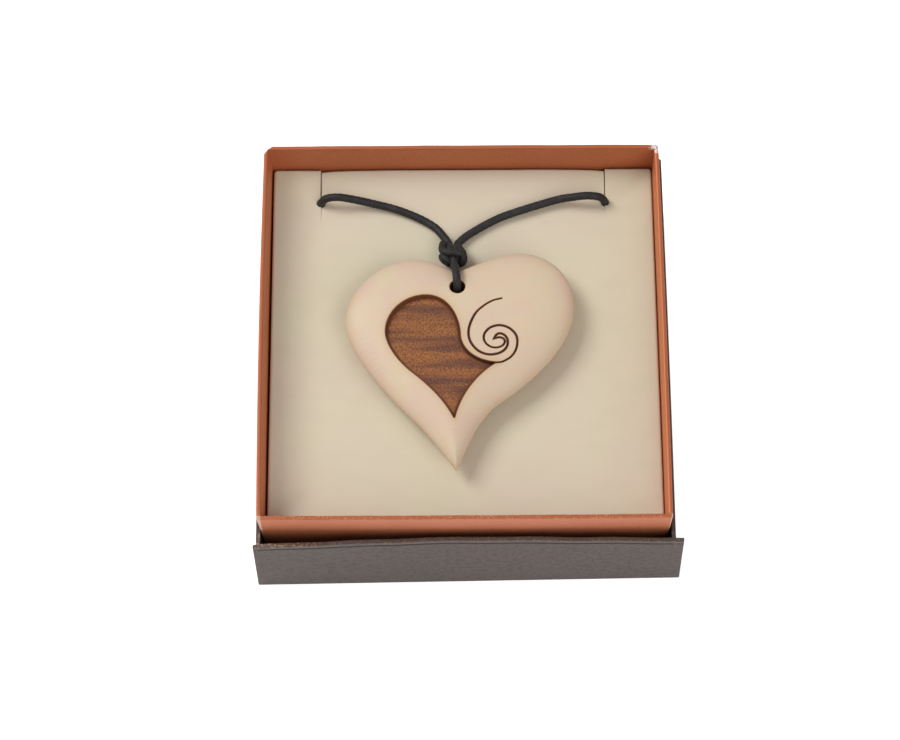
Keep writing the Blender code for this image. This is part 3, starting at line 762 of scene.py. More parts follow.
def triangulated(loops, points):
    """Triangles between closed loops of edges and loose points, without the hole."""
    fixed = [Vector(point) for loop in loops for point in loop]
    edges = []
    for loop in loops:
        first = len(edges)
        edges += [(first + step, first + (step + 1) % len(loop)) for step in range(len(loop))]
    vectors = fixed + [Vector(point) for point in points]
    places, _, faces, *_ = delaunay_2d_cdt(vectors, edges, [], 1, 1e-5)
    places = np.array([tuple(place) for place in places])
    middles = np.array([places[list(face)].mean(axis=0) for face in faces])
    kept = np.linalg.norm(middles - HOLE, axis=1) > HOLE_RADIUS * 0.999
    return places, [face for face, keep in zip(faces, kept) if keep]


EDGE_ROWS = [beside(EDGE, offset) for offset in (0.04, 0.14, 0.32, 0.6, 1.0, 1.5, 2.1)]
HOLE_ROWS = [circle(HOLE_RADIUS + offset) for offset in (0.08, 0.2, 0.35, 0.6)]
RECESS_ROWS = [beside(RECESS, offset)
               for offset in (-0.9, -0.6, -0.3, -0.15, -0.06, 0.06, 0.16, 0.3, 0.6, 1.0)]
LINE_ROWS = [beside(arm, offset, closed=False) for arm in ARMS
             for offset in (-0.5, -0.3, -0.2, -0.11, 0.0, 0.11, 0.2, 0.3, 0.5)]
front_points = face_points(EDGE_ROWS + HOLE_ROWS + RECESS_ROWS + LINE_ROWS, 0.62, 3)
back_points = face_points(EDGE_ROWS + HOLE_ROWS, 1.3, 4)
print("front points", len(front_points), "back points", len(back_points))

# %% The heart's mesh
def heart_mesh(finish):
    form = bmesh.new()
    layers = {name: form.verts.layers.float.new(name) for name in ("burn", "halo", "floor")}
    ring = circle(HOLE_RADIUS)
    for loops, points, face_height in (([EDGE, RECESS, ring], front_points, front_face),
                                       ([EDGE, ring], back_points, back_face)):
        places, faces = triangulated(loops, points)
        heights, marks = face_height(places)
        on_edge = distance(places, EDGE) < 0.003
        heights[on_edge] = HEART_MIDDLE_Z
        corners = [form.verts.new(point) for point in placed(np.column_stack([places, heights]))]
        for name, layer in layers.items():
            for corner, value in zip(corners, marks[name]):
                corner[layer] = value
        for face in faces:
            form.faces.new([corners[step] for step in face])
    bmesh.ops.remove_doubles(form, verts=form.verts, dist=0.002 * MM)
    loose = [corner for corner in form.verts if not corner.link_faces]
    bmesh.ops.delete(form, geom=loose, context="VERTS")
    open_edges = [edge for edge in form.edges if edge.is_boundary]
    bmesh.ops.bridge_loops(form, edges=open_edges)
    still_open = sum(edge.is_boundary for edge in form.edges)
    piece = piece_of(bpy.data.meshes.new("maple_heart"), form, finish, 48)
    print("heart:", len(piece.data.polygons), "faces,", still_open, "open edges")
    return piece


# %% [markdown]
# Maple is pale and close grained. Its colour drifts between straw and a faint pink, with thin
# growth lines across the heart. The burnt floor of the recess is darker and banded, and grainy
# where the tool skipped. Distances stored on the mesh say where the wood is burnt and where
# the heat has only yellowed it.

# %% The maple finish
def maple_finish():
    wood = Finish("maple", Coat_Roughness=0.4)
    patch = wood.grain((85.0, 60.0, 60.0), 2.0, 0.0, 0.6)
    drift = wood.grain((150.0, 420.0, 300.0), 3.0, 0.2)
    x, y, z = wood.axes()
    warp = wood.noise(45.0, 2.0)
    across = (x - 0.004) * 0.62
    along = y + 0.034
    radius = (across * across + along * along).maths("SQRT")
    rings = (radius * 5200.0 + warp * 16.0).maths("SINE")
    rings = wood.rise(rings, 0.35, 1.0) * wood.rise(patch, 0.4, 0.62) * wood.rise(warp, 0.45, 0.6)
    fibre = wood.grain((700.0, 4200.0, 2600.0))
    halo, floor, burn = (wood.attribute(name) for name in ("halo", "floor", "burn"))
    colour = wood.coats(
        (0.655, 0.54, 0.385),
        (wood.rise(patch, 0.36, 0.62), (0.66, 0.505, 0.395)),
        (wood.rise(drift, 0.35, 0.75) * 0.35, (0.70, 0.50, 0.33)),
        (rings * 0.2, (0.57, 0.40, 0.28)),
        (wood.rise(fibre, 0.56, 0.72) * 0.12, (0.52, 0.38, 0.26)),
        (wood.rise(halo, 0.1, 1.1) * 0.55, (0.56, 0.33, 0.12)))
    bands = wood.grain((22.0, 300.0, 0.0), 2.0, 0.07, 0.4)
    grainy = wood.noise(4200.0, 3.0)
    coarse = wood.noise(2300.0, 3.0)
    scorched = wood.coats(
        (0.34, 0.118, 0.028),
        (wood.rise(bands, 0.42, 0.62), (0.125, 0.04, 0.024)),
        (wood.rise(coarse, 0.42, 0.62) * 0.7, (0.095, 0.03, 0.018)),
        (wood.rise(grainy, 0.52, 0.66) * 0.5, (0.40, 0.23, 0.14)))
    uneven = burn * (0.85 + 0.3 * coarse)
    light_wall = wood.rise(x, -0.006, -0.014) * wood.rise(y, -0.002, 0.004)
    deep = wood.rise(y, 0.011, 0.002) * (0.8 - 0.5 * light_wall)
    colour = wood.coats(
        colour,
        (floor, scorched),
        (wood.rise(uneven, 0.08, 0.6), (0.17, 0.05, 0.014)),
        (wood.rise(uneven, 0.72, 1.05) * deep, (0.035, 0.012, 0.005)))
    rough = 0.5 + 0.12 * fibre + 0.25 * floor
    relief = fibre * 0.00002 * (1 - floor) + coarse * floor * 0.00016
    return wood.paint(Base_Color=colour, Roughness=rough, Normal=wood.bump(relief, 1.0, 0.8))


MAPLE = maple_finish()
heart = heart_mesh(MAPLE)
finished(heart, "pendant", "maple", "pendant_heart")

# %% [markdown]
# ## Knot and loop
#
# Both strands of the cord and the end of it are drawn into one small overhand knot, and a
# single loop comes out of the knot and passes through the hole. A ball with a knot pattern
# would look moulded. Instead each turn is a short piece of the same braided cord on its own
# path, packed close round a dark core: one turn crosses the front, its tail pokes out on the
# left, and the strands dive under it.

# %% The knot's turns
KNOT_MIDDLE = Vector((KNOT.x, KNOT.y, (KNOT_LOW.z + KNOT_HIGH.z) / 2))
KNOT_TURNS = [
    # (offset from the knot's middle, share of the cord's thickness)
    [(-2.15, 3.0, -0.4, 0.35), (-2.35, 2.3, -0.1, 0.8), (-2.45, 1.2, 0.4, 1.0),
     (-2.0, 0.25, 1.0, 1.1), (-0.9, -0.2, 1.5, 1.1), (0.5, -0.3, 1.6, 1.1), (1.7, -0.4, 1.3, 1.05),
     (2.4, -1.0, 0.5, 1.0), (2.05, -1.8, -0.5, 1.0), (0.8, -1.9, -1.3, 1.0),
     (-0.8, -1.5, -1.5, 1.0), (-2.1, -0.8, -1.0, 1.0), (-2.45, -0.5, -0.1, 1.0),
     (-1.9, -1.2, 0.5, 1.0), (-0.9, -2.0, 0.2, 0.95), (0.1, -2.3, -0.5, 0.8)],
    [(-1.05, 3.45, -1.5, 1.0), (-0.95, 2.6, -1.0, 1.0), (-0.85, 1.7, -0.1, 1.05),
     (-0.6, 0.8, 0.7, 1.05), (-0.2, -0.4, 0.7, 1.0), (0.0, -1.4, 0.2, 0.9)],
    [(1.15, 3.35, -1.5, 1.0), (1.15, 2.5, -1.0, 1.0), (1.35, 1.5, 0.0, 1.05),
     (2.0, 0.5, 0.3, 1.0), (2.3, -0.2, -0.4, 1.0), (1.4, -0.6, -1.3, 1.0), (-0.2, 0.2, -1.6, 0.9)],
    [(0.4, 2.2, -1.2, 0.9), (0.35, 1.3, 0.1, 1.0), (0.5, 0.5, 0.8, 0.95), (0.7, -0.4, 0.6, 0.9)],
]


def turn_rows():
    rows, radii = [], []
    for points in KNOT_TURNS:
        row, _ = smooth_route([KNOT_MIDDLE + Vector(point[:3]) for point in points], 0.3)
        known = np.linspace(0.0, 1.0, len(points))
        rows.append(row)
        even = np.linspace(0.0, 1.0, len(row))
        radii.append(np.interp(even, known, [point[3] for point in points]))
    return rows, radii


FINE_BRAID = {"Material": CORD_FINISH, "Spacing": 0.00025}
knot = grown(curve_through("knot", *turn_rows()), BRAID, **FINE_BRAID)
CORE_MIDDLE = KNOT_MIDDLE + Vector((0.0, -0.2, -0.2))
CORE_HALVES = Vector((2.3, 1.9, 1.5))
core = bmesh.new()
bmesh.ops.create_icosphere(core, subdivisions=3, radius=1.0)
for corner in core.verts:
    corner.co = placed([CORE_MIDDLE + corner.co * CORE_HALVES])[0]
core.from_mesh(knot.data)
core.to_mesh(knot.data)
core.free()
knot.data.shade_smooth()
finished(knot, "pendant", "black_cord", "cord_knot")

# %% The loop through the heart
LOOP_SIDE = [
    # (back from the hole's middle, up from the heart's)
    (8.6, -0.6), (6.8, -0.35), (6.15, 0.9), (5.4, 2.3), (4.1, 3.65), (2.3, 4.25), (0.8, 4.0),
    (0.0, 3.0), (-0.15, 1.2), (-0.1, -0.6), (0.25, -1.9), (1.1, -2.85), (2.6, -3.2), (4.6, -3.2),
    (6.6, -3.05),
]
loop_points = [Vector((HOLE[0] - 0.6 * max(0.0, back) / 6.8, HOLE[1] + back, HEART_MIDDLE_Z + up))
               for back, up in LOOP_SIDE]
loop_row, loop_length = smooth_route(loop_points, 0.3)
loop = grown(curve_through("hanging_loop", [loop_row]), BRAID, **FINE_BRAID)
finished(loop, "pendant", "black_cord", "cord_loop")
print(f"loop {loop_length:.1f} mm")

# %% [markdown]
# ## The velvet pad
#
# Thin velvet is glued over a foam slab and tucked down its sides, and two cuts from the back
# edge hold the cord. A flat block would look like card. The cloth rounds over at the edges and
# rolls into the cuts, and the flap between them is pressed a little lower by the cord. So the
# top is a height over a grid whose lines crowd together at the edges and the cuts. A smaller
# copy of the same form hollows it to a thin cover, which is then cut, and the foam below
# follows the same heights.

# %% The pad's shape
SLOT_HALF = 0.07
ROLL = 0.22
EDGE_LIFT = 1.5
CORD_HOLE = CORD / 2 + 0.05
CORNER = 0.9
EDGE_STEPS = (0.0, 0.03, 0.1, 0.2, 0.33, 0.47, 0.62, 0.9, 1.5, 2.4, 3.5)
SLIT_STEPS = (0.0, 0.07, 0.1, 0.16, 0.24, 0.34, 0.5, 0.75, 0.98, 1.1, 1.3, 1.9, 2.8, 4.0)


def grid_lines(half, close, spacing):
    """Lines across the pad: the close ones, and even ones wherever they leave room."""
    close = sorted({round(value, 3) for value in close})
    plain = np.linspace(-half, half, round(2 * half / spacing) + 1)
    free = [value for value in plain if min(abs(value - other) for other in close) > spacing / 3]
    return np.array(sorted(close + free))


def pad_heights(x, y, half, lower):
    """The place of each grid point on the pad's top surface."""
    flat = half - CORNER
    away_x = np.clip((np.abs(x) - flat) / CORNER, 0.0, 1.0)
    away_y = np.clip((np.abs(y) - flat) / CORNER, 0.0, 1.0)
    both = (away_x > 0) & (away_y > 0)
    round_x = np.where(both, away_x * np.sqrt(1 - away_y ** 2 / 2), away_x)
    round_y = np.where(both, away_y * np.sqrt(1 - away_x ** 2 / 2), away_y)
    in_corner = np.where(both, np.hypot(round_x, round_y), 0.0)
    from_edge = CORNER * (1 - np.maximum(np.maximum(away_x, away_y), in_corner))
    further = CORNER + flat - np.maximum(np.abs(x), np.abs(y))
    from_edge = np.where(from_edge >= CORNER, further, from_edge)
    new_x = np.where(both, np.sign(x) * (flat + CORNER * round_x), x)
    new_y = np.where(both, np.sign(y) * (flat + CORNER * round_y), y)
    rounded = np.clip(1 - from_edge / 0.6, 0.0, 1.0)
    drop = 0.6 * (1 - np.sqrt(np.clip(1 - rounded ** 2, 0.0, 1.0)))
    drop = drop - EDGE_LIFT * np.exp(-(from_edge / 5.2) ** 2)
    from_line = np.abs(x) - SLIT.x
    ahead = np.maximum(0.0, SLIT.y - y)
    slot = np.hypot(from_line, ahead * 0.8) - SLOT_HALF
    hole = np.hypot(from_line, y - SLIT.y) - CORD_HOLE
    roll = 1 - np.clip(1 - np.clip(np.minimum(slot, hole), 0.0, None) / ROLL, 0.0, 1.0) ** 2
    drop = drop + ROLL * (1 - np.sqrt(roll)) * ramp(y, SLIT.y - 1.4, SLIT.y)
    from_slit = np.maximum(0.0, -from_line)
    on_flap = np.where(from_line < 0, ramp(y, SLIT.y - 7.0, SLIT.y + 3.0), 0.0)
    drop = drop + on_flap * (0.06 + 0.42 * np.exp(-from_slit / 5.5))
    new_y = new_y - 0.3 * on_flap * np.exp(-from_slit / 3.5) * ramp(y, half - 5.0, half)
    drop = drop + 0.05 * np.sin(x * 0.21 + 1.0) * np.sin(y * 0.17 - 0.6)
    drop = drop + 0.025 * np.sin(x * 0.55 - y * 0.4)
    return new_x, new_y, PAD_TOP_Z - lower - drop


def pad_block(name, half, lower, levels, tuck, spacing, finish):
    """The pad's top, its sides down to the last level, and a flat underside."""
    close = [side * (half - step) for side in (-1, 1) for step in EDGE_STEPS]
    close_x = close + [side * SLIT.x + way * step
                       for side in (-1, 1) for way in (-1, 1) for step in SLIT_STEPS]
    close_y = close + list(np.arange(SLIT.y - 3.0, SLIT.y + 2.0, 0.25))
    lines_x, lines_y = grid_lines(half, close_x, spacing), grid_lines(half, close_y, spacing)
    count_x, count_y = len(lines_x), len(lines_y)
    x, y = (axis.ravel() for axis in np.meshgrid(lines_x, lines_y, indexing="ij"))
    points = np.column_stack(pad_heights(x, y, half, lower))
    number = np.arange(count_x * count_y).reshape(count_x, count_y)
    faces = [(number[i, j], number[i + 1, j], number[i + 1, j + 1], number[i, j + 1])
             for i in range(count_x - 1) for j in range(count_y - 1)]
    border = [*number[:, 0], *number[-1, 1:], *number[-2::-1, -1], *number[0, -2:0:-1]]
    last, rows = border, [points]
    for level, pull in zip(levels, tuck):
        ring = points[border].copy()
        ring[:, :2] *= (half - pull) / half
        ring[:, 2] = level
        first = sum(len(row) for row in rows)
        rows.append(ring)
        now = list(range(first, first + len(border)))
        for step in range(len(border)):
            after = (step + 1) % len(border)
            faces.append((last[step], now[step], now[after], last[after]))
        last = now
    return mesh_piece(name, placed(np.concatenate(rows)), faces + [tuple(last)], finish)


def cutter(name, outline, low, high):
    """A plain upright guide that only cuts other pieces."""
    count = len(outline)
    points = placed([(x, y, z) for z in (low, high) for x, y in outline])
    faces = [tuple(range(count)), tuple(range(count, 2 * count))]
    faces += [(step, (step + 1) % count, count + (step + 1) % count, count + step)
              for step in range(count)]
    return mesh_piece(name, points, faces, None)


def slot_outline(side, half_width, radius):
    """A round hole for the cord with a slot that runs back past the pad's edge."""
    back = 47.0
    half_gap = math.asin(half_width / radius)
    start = half_gap + math.pi / 2
    middle = side * SLIT.x
    outline = [(middle + radius * math.cos(turn), SLIT.y + radius * math.sin(turn))
               for turn in np.linspace(start, start + 2 * (math.pi - half_gap), 25)]
    return outline + [(middle + half_width, back), (middle - half_width, back)]


def slit_guides(name, half_width, radius):
    return [cutter(f"{name}_{word}_slit", slot_outline(side, half_width, radius), 10.0, 32.0)
            for side, word in ((-1, "left"), (1, "right"))]


def cut_away(piece, guides):
    for guide in guides:
        step = piece.modifiers.new(guide.name, "BOOLEAN")
        step.operation = "DIFFERENCE"
        step.solver = "EXACT"
        step.object = guide
    evaluated(piece)
    for guide in guides:
        bpy.data.objects.remove(guide)


# %% The velvet's finish
def velvet_finish():
    velvet = Finish("cream_velvet", Roughness=1.0, Sheen_Weight=0.12, Sheen_Roughness=0.5,
                    Sheen_Tint=(1.0, 0.96, 0.88, 1.0))
    cloud = velvet.noise(38.0, 2.0)
    stroke = velvet.grain((120.0, 330.0, 200.0), 3.0, 0.5)
    pile = velvet.noise(4200.0, 2.0)
    colour = velvet.coats(
        (0.655, 0.60, 0.455),
        (velvet.rise(cloud, 0.35, 0.65), (0.66, 0.575, 0.46)),
        (velvet.rise(stroke, 0.3, 0.8) * 0.25, (0.585, 0.53, 0.40)),
        (velvet.rise(pile, 0.3, 0.75) * 0.1, (0.57, 0.52, 0.39)))
    relief = pile * 0.000015 + stroke * 0.00003
    return velvet.paint(Base_Color=colour, Normal=velvet.bump(relief, 1.0, 0.7))


def foam_finish():
    foam = Finish("white_foam", Roughness=0.95)
    cells = foam.node("ShaderNodeTexVoronoi", {"feature": "F1"}, {
        "Vector": foam.place, "Scale": 1500.0}, "Distance")
    colour = foam.mix(foam.rise(cells, 0.2, 0.6), (0.62, 0.61, 0.56), (0.8, 0.79, 0.74))
    return foam.paint(Base_Color=colour, Normal=foam.bump(cells, 0.0001, 0.6))


# %% Velvet and foam
VELVET_HALF = PAD_HALF + 0.6
VELVET = 0.5
SIDE_LEVELS = (24.0, 21.0, 18.5)
SIDE_PULL = (0.0, 0.08, 0.1, 0.05)
velvet = pad_block("velvet_cover", VELVET_HALF, 0.0, (*SIDE_LEVELS, PAD_LOW.z),
                   SIDE_PULL, 1.3, velvet_finish())
hollow = pad_block("velvet_hollow", VELVET_HALF - VELVET, VELVET, (*SIDE_LEVELS, PAD_LOW.z - 1.0),
                   SIDE_PULL, 1.7, None)
cut_away(velvet, [hollow] + slit_guides("velvet", SLOT_HALF, CORD_HOLE))
velvet.data.shade_smooth()
velvet.data.set_sharp_from_angle(angle=math.radians(50))
print("velvet cover:", len(velvet.data.polygons), "faces")
finished(velvet, "insert", "cream_velvet", "pad_velvet")

foam = pad_block("foam_slab", FOAM_HIGH.x, 0.75, (23.5, 20.5, FOAM_LOW.z), (0.1, 0.2, 0.1), 2.0,
                 foam_finish())
cut_away(foam, slit_guides("foam", 1.25, 1.3))
finished(foam, "insert", "white_foam", "pad_foam")

# %% [markdown]
# ## The copper tray
#
# A set-up box is a tray of thin grey board wrapped in printed paper, which turns in over the
# rim and ends inside. Its side walls bow outwards a little between the corners, and the folded
# corners are never quite square. A block with a hollow can't show that, so board and paper are
# skinned from rings of points that run round the tray, and one rule bends both, so that the
# board stays between its two papers. Areas of the finish are told apart by where they are: the
# rim's top, the inner faces, the front face and the rubbed corners, all in metres. The inner
# faces and the front face are painted lighter than the rest of the paper, as painted light.

# %% Rings and walls of a folded box
def side_stations(count=34):
    """Shares from -1 to 1 along a side, closer together near its corners."""
    even = np.linspace(-1.0, 1.0, count)
    return 0.5 * even + 0.5 * np.sin(even * math.pi / 2)


def box_ring(half, front, back, corner, ear=0.0):
    """Points round a box from its front left corner; an ear widens only the front wall."""
    ear_depth = 0.8
    stations = side_stations()
    reach = half + ear
    middle, deep = (front + back) / 2, (back - front) / 2
    points = [(share * (reach - corner), front) for share in stations]
    start = front + (ear_depth if ear else corner)
    arc = [(math.sin(turn), math.cos(turn)) for turn in np.linspace(0.0, math.pi / 2, 4)]
    right = [(reach - corner + corner * a, front + corner - corner * b) for a, b in arc[1:]]
    right += [(reach, start), (half, start + (0.02 if ear else 0.0))]
    points += right
    sides = [y for y in middle + stations[1:-1] * (deep - corner) if y > start + 0.4]
    sides = np.interp(np.linspace(0, 1, 30), np.linspace(0, 1, len(sides)), sides)
    points += [(half, y) for y in sides]
    points += [(half - corner + corner * b, back - corner + corner * a) for a, b in arc]
    points += [(-share * (half - corner), back) for share in stations[1:-1]]
    points += [(-half + corner - corner * a, back - corner + corner * b) for a, b in arc]
    points += [(-half, y) for y in sides[::-1]]
    points += [(-x, y) for x, y in right[::-1]]
    return np.array(points)


def skinned(name, rings, bend, finish):
    """A closed wall: rings of points joined in order, capped at both ends and bent by a rule."""
    count = len(rings[0][0])
    flat = [np.column_stack([ring, np.full(count, level)]) for ring, level in rings]
    points = bend(np.concatenate(flat))
    faces = [tuple(range(count)), tuple(range(len(points) - count, len(points)))]
    for first in range(0, len(points) - count, count):
        for step in range(count):
            after = (step + 1) % count
            faces.append((first + step, first + after, first + count + after, first + count + step))
    return mesh_piece(name, placed(points), faces, finish, 40)


def levels_between(low, high, longest=3.0):
    """Even levels from low to high, both included."""
    return np.linspace(low, high, max(1, round(abs(high - low) / longest)) + 1)


# %% How the tray bends
RIM_ZONE = 3.0  # how far below the rim the folds of its corners and its ripple fade out
FLATTENED = 0.62
# For each wall: how far it leans out at its rim, and how far it bows between its corners.
LEANS = {"left": (0.8, 0.35), "right": (0.1, 0.2), "front": (0.6, 0.12), "back": (0.78, 0.05)}
# For each corner: the side it is on, and how far in from its point it is flattened at the rim.
FOLDED_CORNERS = [(-1, 1, 1.35), (1, 1, 0.5), (1, -1, 0.3), (-1, -1, 0.25)]


def leaned(away, along, z, low_wall, high_wall):
    """How far a pair of walls moves, from the distance to them and along them."""
    high = np.clip((z - TRAY_LOW.z) / (RIM_Z - TRAY_LOW.z), 0.0, 1.0)
    bow = np.clip(1 - (along / TRAY_HALF) ** 2, 0.0, 1.0)
    (low_lean, low_bow), (high_lean, high_bow) = LEANS[low_wall], LEANS[high_wall]
    outward = np.where(away < 0, -(low_lean + low_bow * bow), high_lean + high_bow * bow)
    return outward * high ** 3 * ramp(np.abs(away), TRAY_HALF - 6.0, TRAY_HALF - 1.5)


def tray_bend(points):
    aside, ahead, z = points.T
    at_rim = ramp(z, RIM_Z - RIM_ZONE, RIM_Z)
    x = aside + leaned(aside, ahead, z, "left", "right")
    y = ahead + leaned(ahead, aside, z, "front", "back")
    for side_x, side_y, cut_off in FOLDED_CORNERS:
        past = (side_x * aside + side_y * ahead) / math.sqrt(2) - TRAY_HALF * math.sqrt(2) + cut_off
        past = np.clip(past, 0.0, None) * at_rim * FLATTENED
        x = x - side_x * past
        y = y - side_y * past
    ripple = 0.05 * np.sin(aside * 0.31 + ahead * 0.23) + 0.03 * np.sin(aside * 1.3 - ahead * 1.1)
    return np.column_stack([x, y, z + at_rim * ripple])


# %% Copper paper
def copper_finish():
    paper = Finish("copper_paper", Metallic=0.15)
    x, y, z = paper.axes()
    aside = x.maths("ABSOLUTE")
    from_rim = RIM_Z * MM - z
    fibre = paper.noise(1900.0, 4.0)
    cloud = paper.noise(60.0, 2.0)
    speck = paper.noise(2300.0, 2.0)
    top = paper.rise(from_rim, 0.0007, 0.0001)
    # inside marks the inner faces, whose paper is painted lighter below as painted light
    inside = paper.rise(aside, 0.0448, 0.0444) * paper.rise(y, -0.0438, -0.0434)
    inside = inside * paper.rise(y, 0.0452, 0.0449)
    # face marks the front face, whose paper is painted lighter and pinker below as painted light
    # and reflection
    face = paper.rise(y, -0.0440, -0.0445) * paper.rise(from_rim, 0.0004, 0.001)
    front_rim = paper.rise(from_rim, 0.0006, 0.00005) * paper.rise(y, -0.0425, -0.0435)
    corner = paper.rise(aside, 0.0447, 0.0450) * paper.rise(y, -0.0438, -0.0441)
    back_right = paper.rise(x, 0.0425, 0.0437) * paper.rise(y, 0.0439, 0.0447)
    back_right = back_right * paper.rise(from_rim, 0.0012, 0.0004)
    colour = paper.coats(
        (0.50, 0.145, 0.05),
        (paper.rise(cloud, 0.3, 0.7), (0.53, 0.16, 0.062)),
        (paper.rise(fibre, 0.35, 0.75) * 0.3, (0.33, 0.10, 0.045)),
        (top * 0.8, (0.41, 0.105, 0.036)),
        # painted light: the inner faces are painted lighter
        (inside * 0.7, (0.66, 0.20, 0.072)),
        # painted light and reflection: the front face is painted lighter and pinker
        (face * 0.75, (0.49, 0.158, 0.08)),
        (front_rim * paper.rise(speck, 0.57, 0.64) * 0.35, (0.8, 0.48, 0.27)),
        (corner * (0.55 + 0.45 * paper.rise(cloud, 0.3, 0.6)), (0.66, 0.43, 0.36)),
        (back_right * paper.rise(speck, 0.4, 0.5), (0.85, 0.74, 0.70)))
    rough = 0.46 + 0.2 * fibre - 0.1 * top
    return paper.paint(Base_Color=colour, Roughness=rough, Normal=paper.bump(fibre, 0.00004, 0.6))


def board_finish():
    board = Finish("grey_board", Roughness=0.95)
    fleck = board.noise(900.0, 4.0)
    colour = board.mix(board.rise(fleck, 0.35, 0.65), (0.27, 0.245, 0.21), (0.42, 0.39, 0.345))
    return board.paint(Base_Color=colour, Normal=board.bump(fleck, 0.0001, 0.5))


COPPER = copper_finish()
GREY_BOARD = board_finish()

# %% The tray's board and paper
TRAY_PAPER = 0.2
TRAY_WALL = 0.95
TURN_IN = 22.0


def tray_ring(half):
    return box_ring(half, -half, half, max(0.05, 0.5 - (TRAY_HALF - half)))


def round_rim(edge, way, radius, turns):
    """Rings over the rim's rounded edge, from a wall's face towards the middle of its top."""
    return [(tray_ring(edge + way * radius * (1 - math.cos(turn))),
             RIM_Z - radius * (1 - math.sin(turn))) for turn in turns]


def tray_paper_rings():
    """Up the outside, over the rim, down the inside, and back under the turned-in paper."""
    under = TRAY_HALF - TRAY_PAPER
    inner = TRAY_HALF - TRAY_WALL
    turned_in_to = RIM_Z - TURN_IN
    quarter = np.linspace(0.0, math.pi / 2, 4)
    rings = [(tray_ring(TRAY_HALF - 0.2), TRAY_LOW.z), (tray_ring(TRAY_HALF), TRAY_LOW.z + 0.2)]
    for half, start, end in ((TRAY_HALF, TRAY_LOW.z + 1.0, RIM_Z - 1.0),
                             (inner, RIM_Z - 1.0, turned_in_to),
                             (inner + TRAY_PAPER, turned_in_to, RIM_Z - 0.25),
                             (under, RIM_Z - 0.25, TRAY_LOW.z + 0.25)):
        rings += [(tray_ring(half), level) for level in levels_between(start, end)]
        if half == TRAY_HALF:
            rings += round_rim(TRAY_HALF, -1, 0.3, quarter)
            rings += round_rim(inner, 1, 0.25, quarter[::-1])
    return rings


def board_piece(name, node, body, ring, outer, inner, bend, finish):
    """A box's board: up its outer face and down its inner one to just above its floor."""
    low, high = (corner.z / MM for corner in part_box(node))
    rings = [(ring(*outer), level) for level in levels_between(low, high)]
    rings += [(ring(*inner), level) for level in levels_between(high, low + 0.9)]
    finished(skinned(name, rings, bend, finish), body, "grey_board", node)


tray_paper = skinned("tray_paper", tray_paper_rings(), tray_bend, COPPER)
finished(tray_paper, "tray", "copper_paper", "tray_wrap")
TRAY_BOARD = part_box("tray_board")[1].x / MM
board_piece("tray_grey_board", "tray_board", "tray", tray_ring, (TRAY_BOARD,), (TRAY_BOARD - 0.4,),
            tray_bend, GREY_BOARD)

# %% [markdown]
# ## The upturned lid
#
# The lid is made the same way in a taupe paper and stands upside down under the tray. Its
# front wall has been pulled forward by handling: it leans out most at its left end, its paper
# stands past the side walls as two thin ears, and a fold runs just below the rim with a small
# crumple near the middle. The dark line along that fold, and the fainter ones down the ears'
# upright folds, are painted shade.

# %% How the lid's front wall bends
LID_HALF = LID_HIGH.x - 1.6
LID_FRONT = LID_LOW.y - MIDDLE_Y
LID_HEIGHT = LID_HIGH.z
EAR = 1.6


def lean(x, z):
    """How far the front wall stands forward of its own plane."""
    share = x / LID_HALF
    left, right = np.clip(-share, 0.0, None), np.clip(share, 0.0, None)
    top = 1.9 * left ** 2 / (left + 0.25) + 0.62 * right ** 2 / (right + 0.3) - 0.08
    foot = 0.05 - 0.575 * share
    high = np.clip(z / LID_HEIGHT, 0.0, 1.0)
    crumple = np.exp(-((x - 3.0 - 0.25 * (LID_HEIGHT - z)) / 0.8) ** 2)
    crumple = crumple * ramp(z, LID_HEIGHT - 2.2, LID_HEIGHT - 0.4)
    return foot + (top - foot) * high ** 1.4 + 0.35 * crumple + 0.06 * np.sin(x * 0.33) * high


def lid_bend(points):
    x, y, z = points.T
    share = z / LID_HEIGHT
    front = ramp(-y, -LID_FRONT - 5.0, -LID_FRONT - 1.6)
    y = y - front * lean(x, z)
    bulge = ramp(np.abs(x), LID_HALF - 4.0, LID_HALF - 1.0) * np.clip(share, 0.0, 1.0) ** 3
    x = x + np.sign(x) * bulge * 0.12 * np.clip(1 - (y / LID_HALF) ** 2, 0.0, 1.0)
    on_ear = ramp(np.abs(x), LID_HALF + 0.2, LID_HALF + EAR - 0.2)
    x = x + on_ear * np.where(x > 0, 1.2 - share, 0.45 + 0.45 * share)
    ripple = 0.05 * np.sin(x * 0.45) + 0.04 * np.sin(x * 1.7)
    return np.column_stack([x, y, z + ramp(z, LID_HEIGHT - 3.0, LID_HEIGHT) * front * ripple])


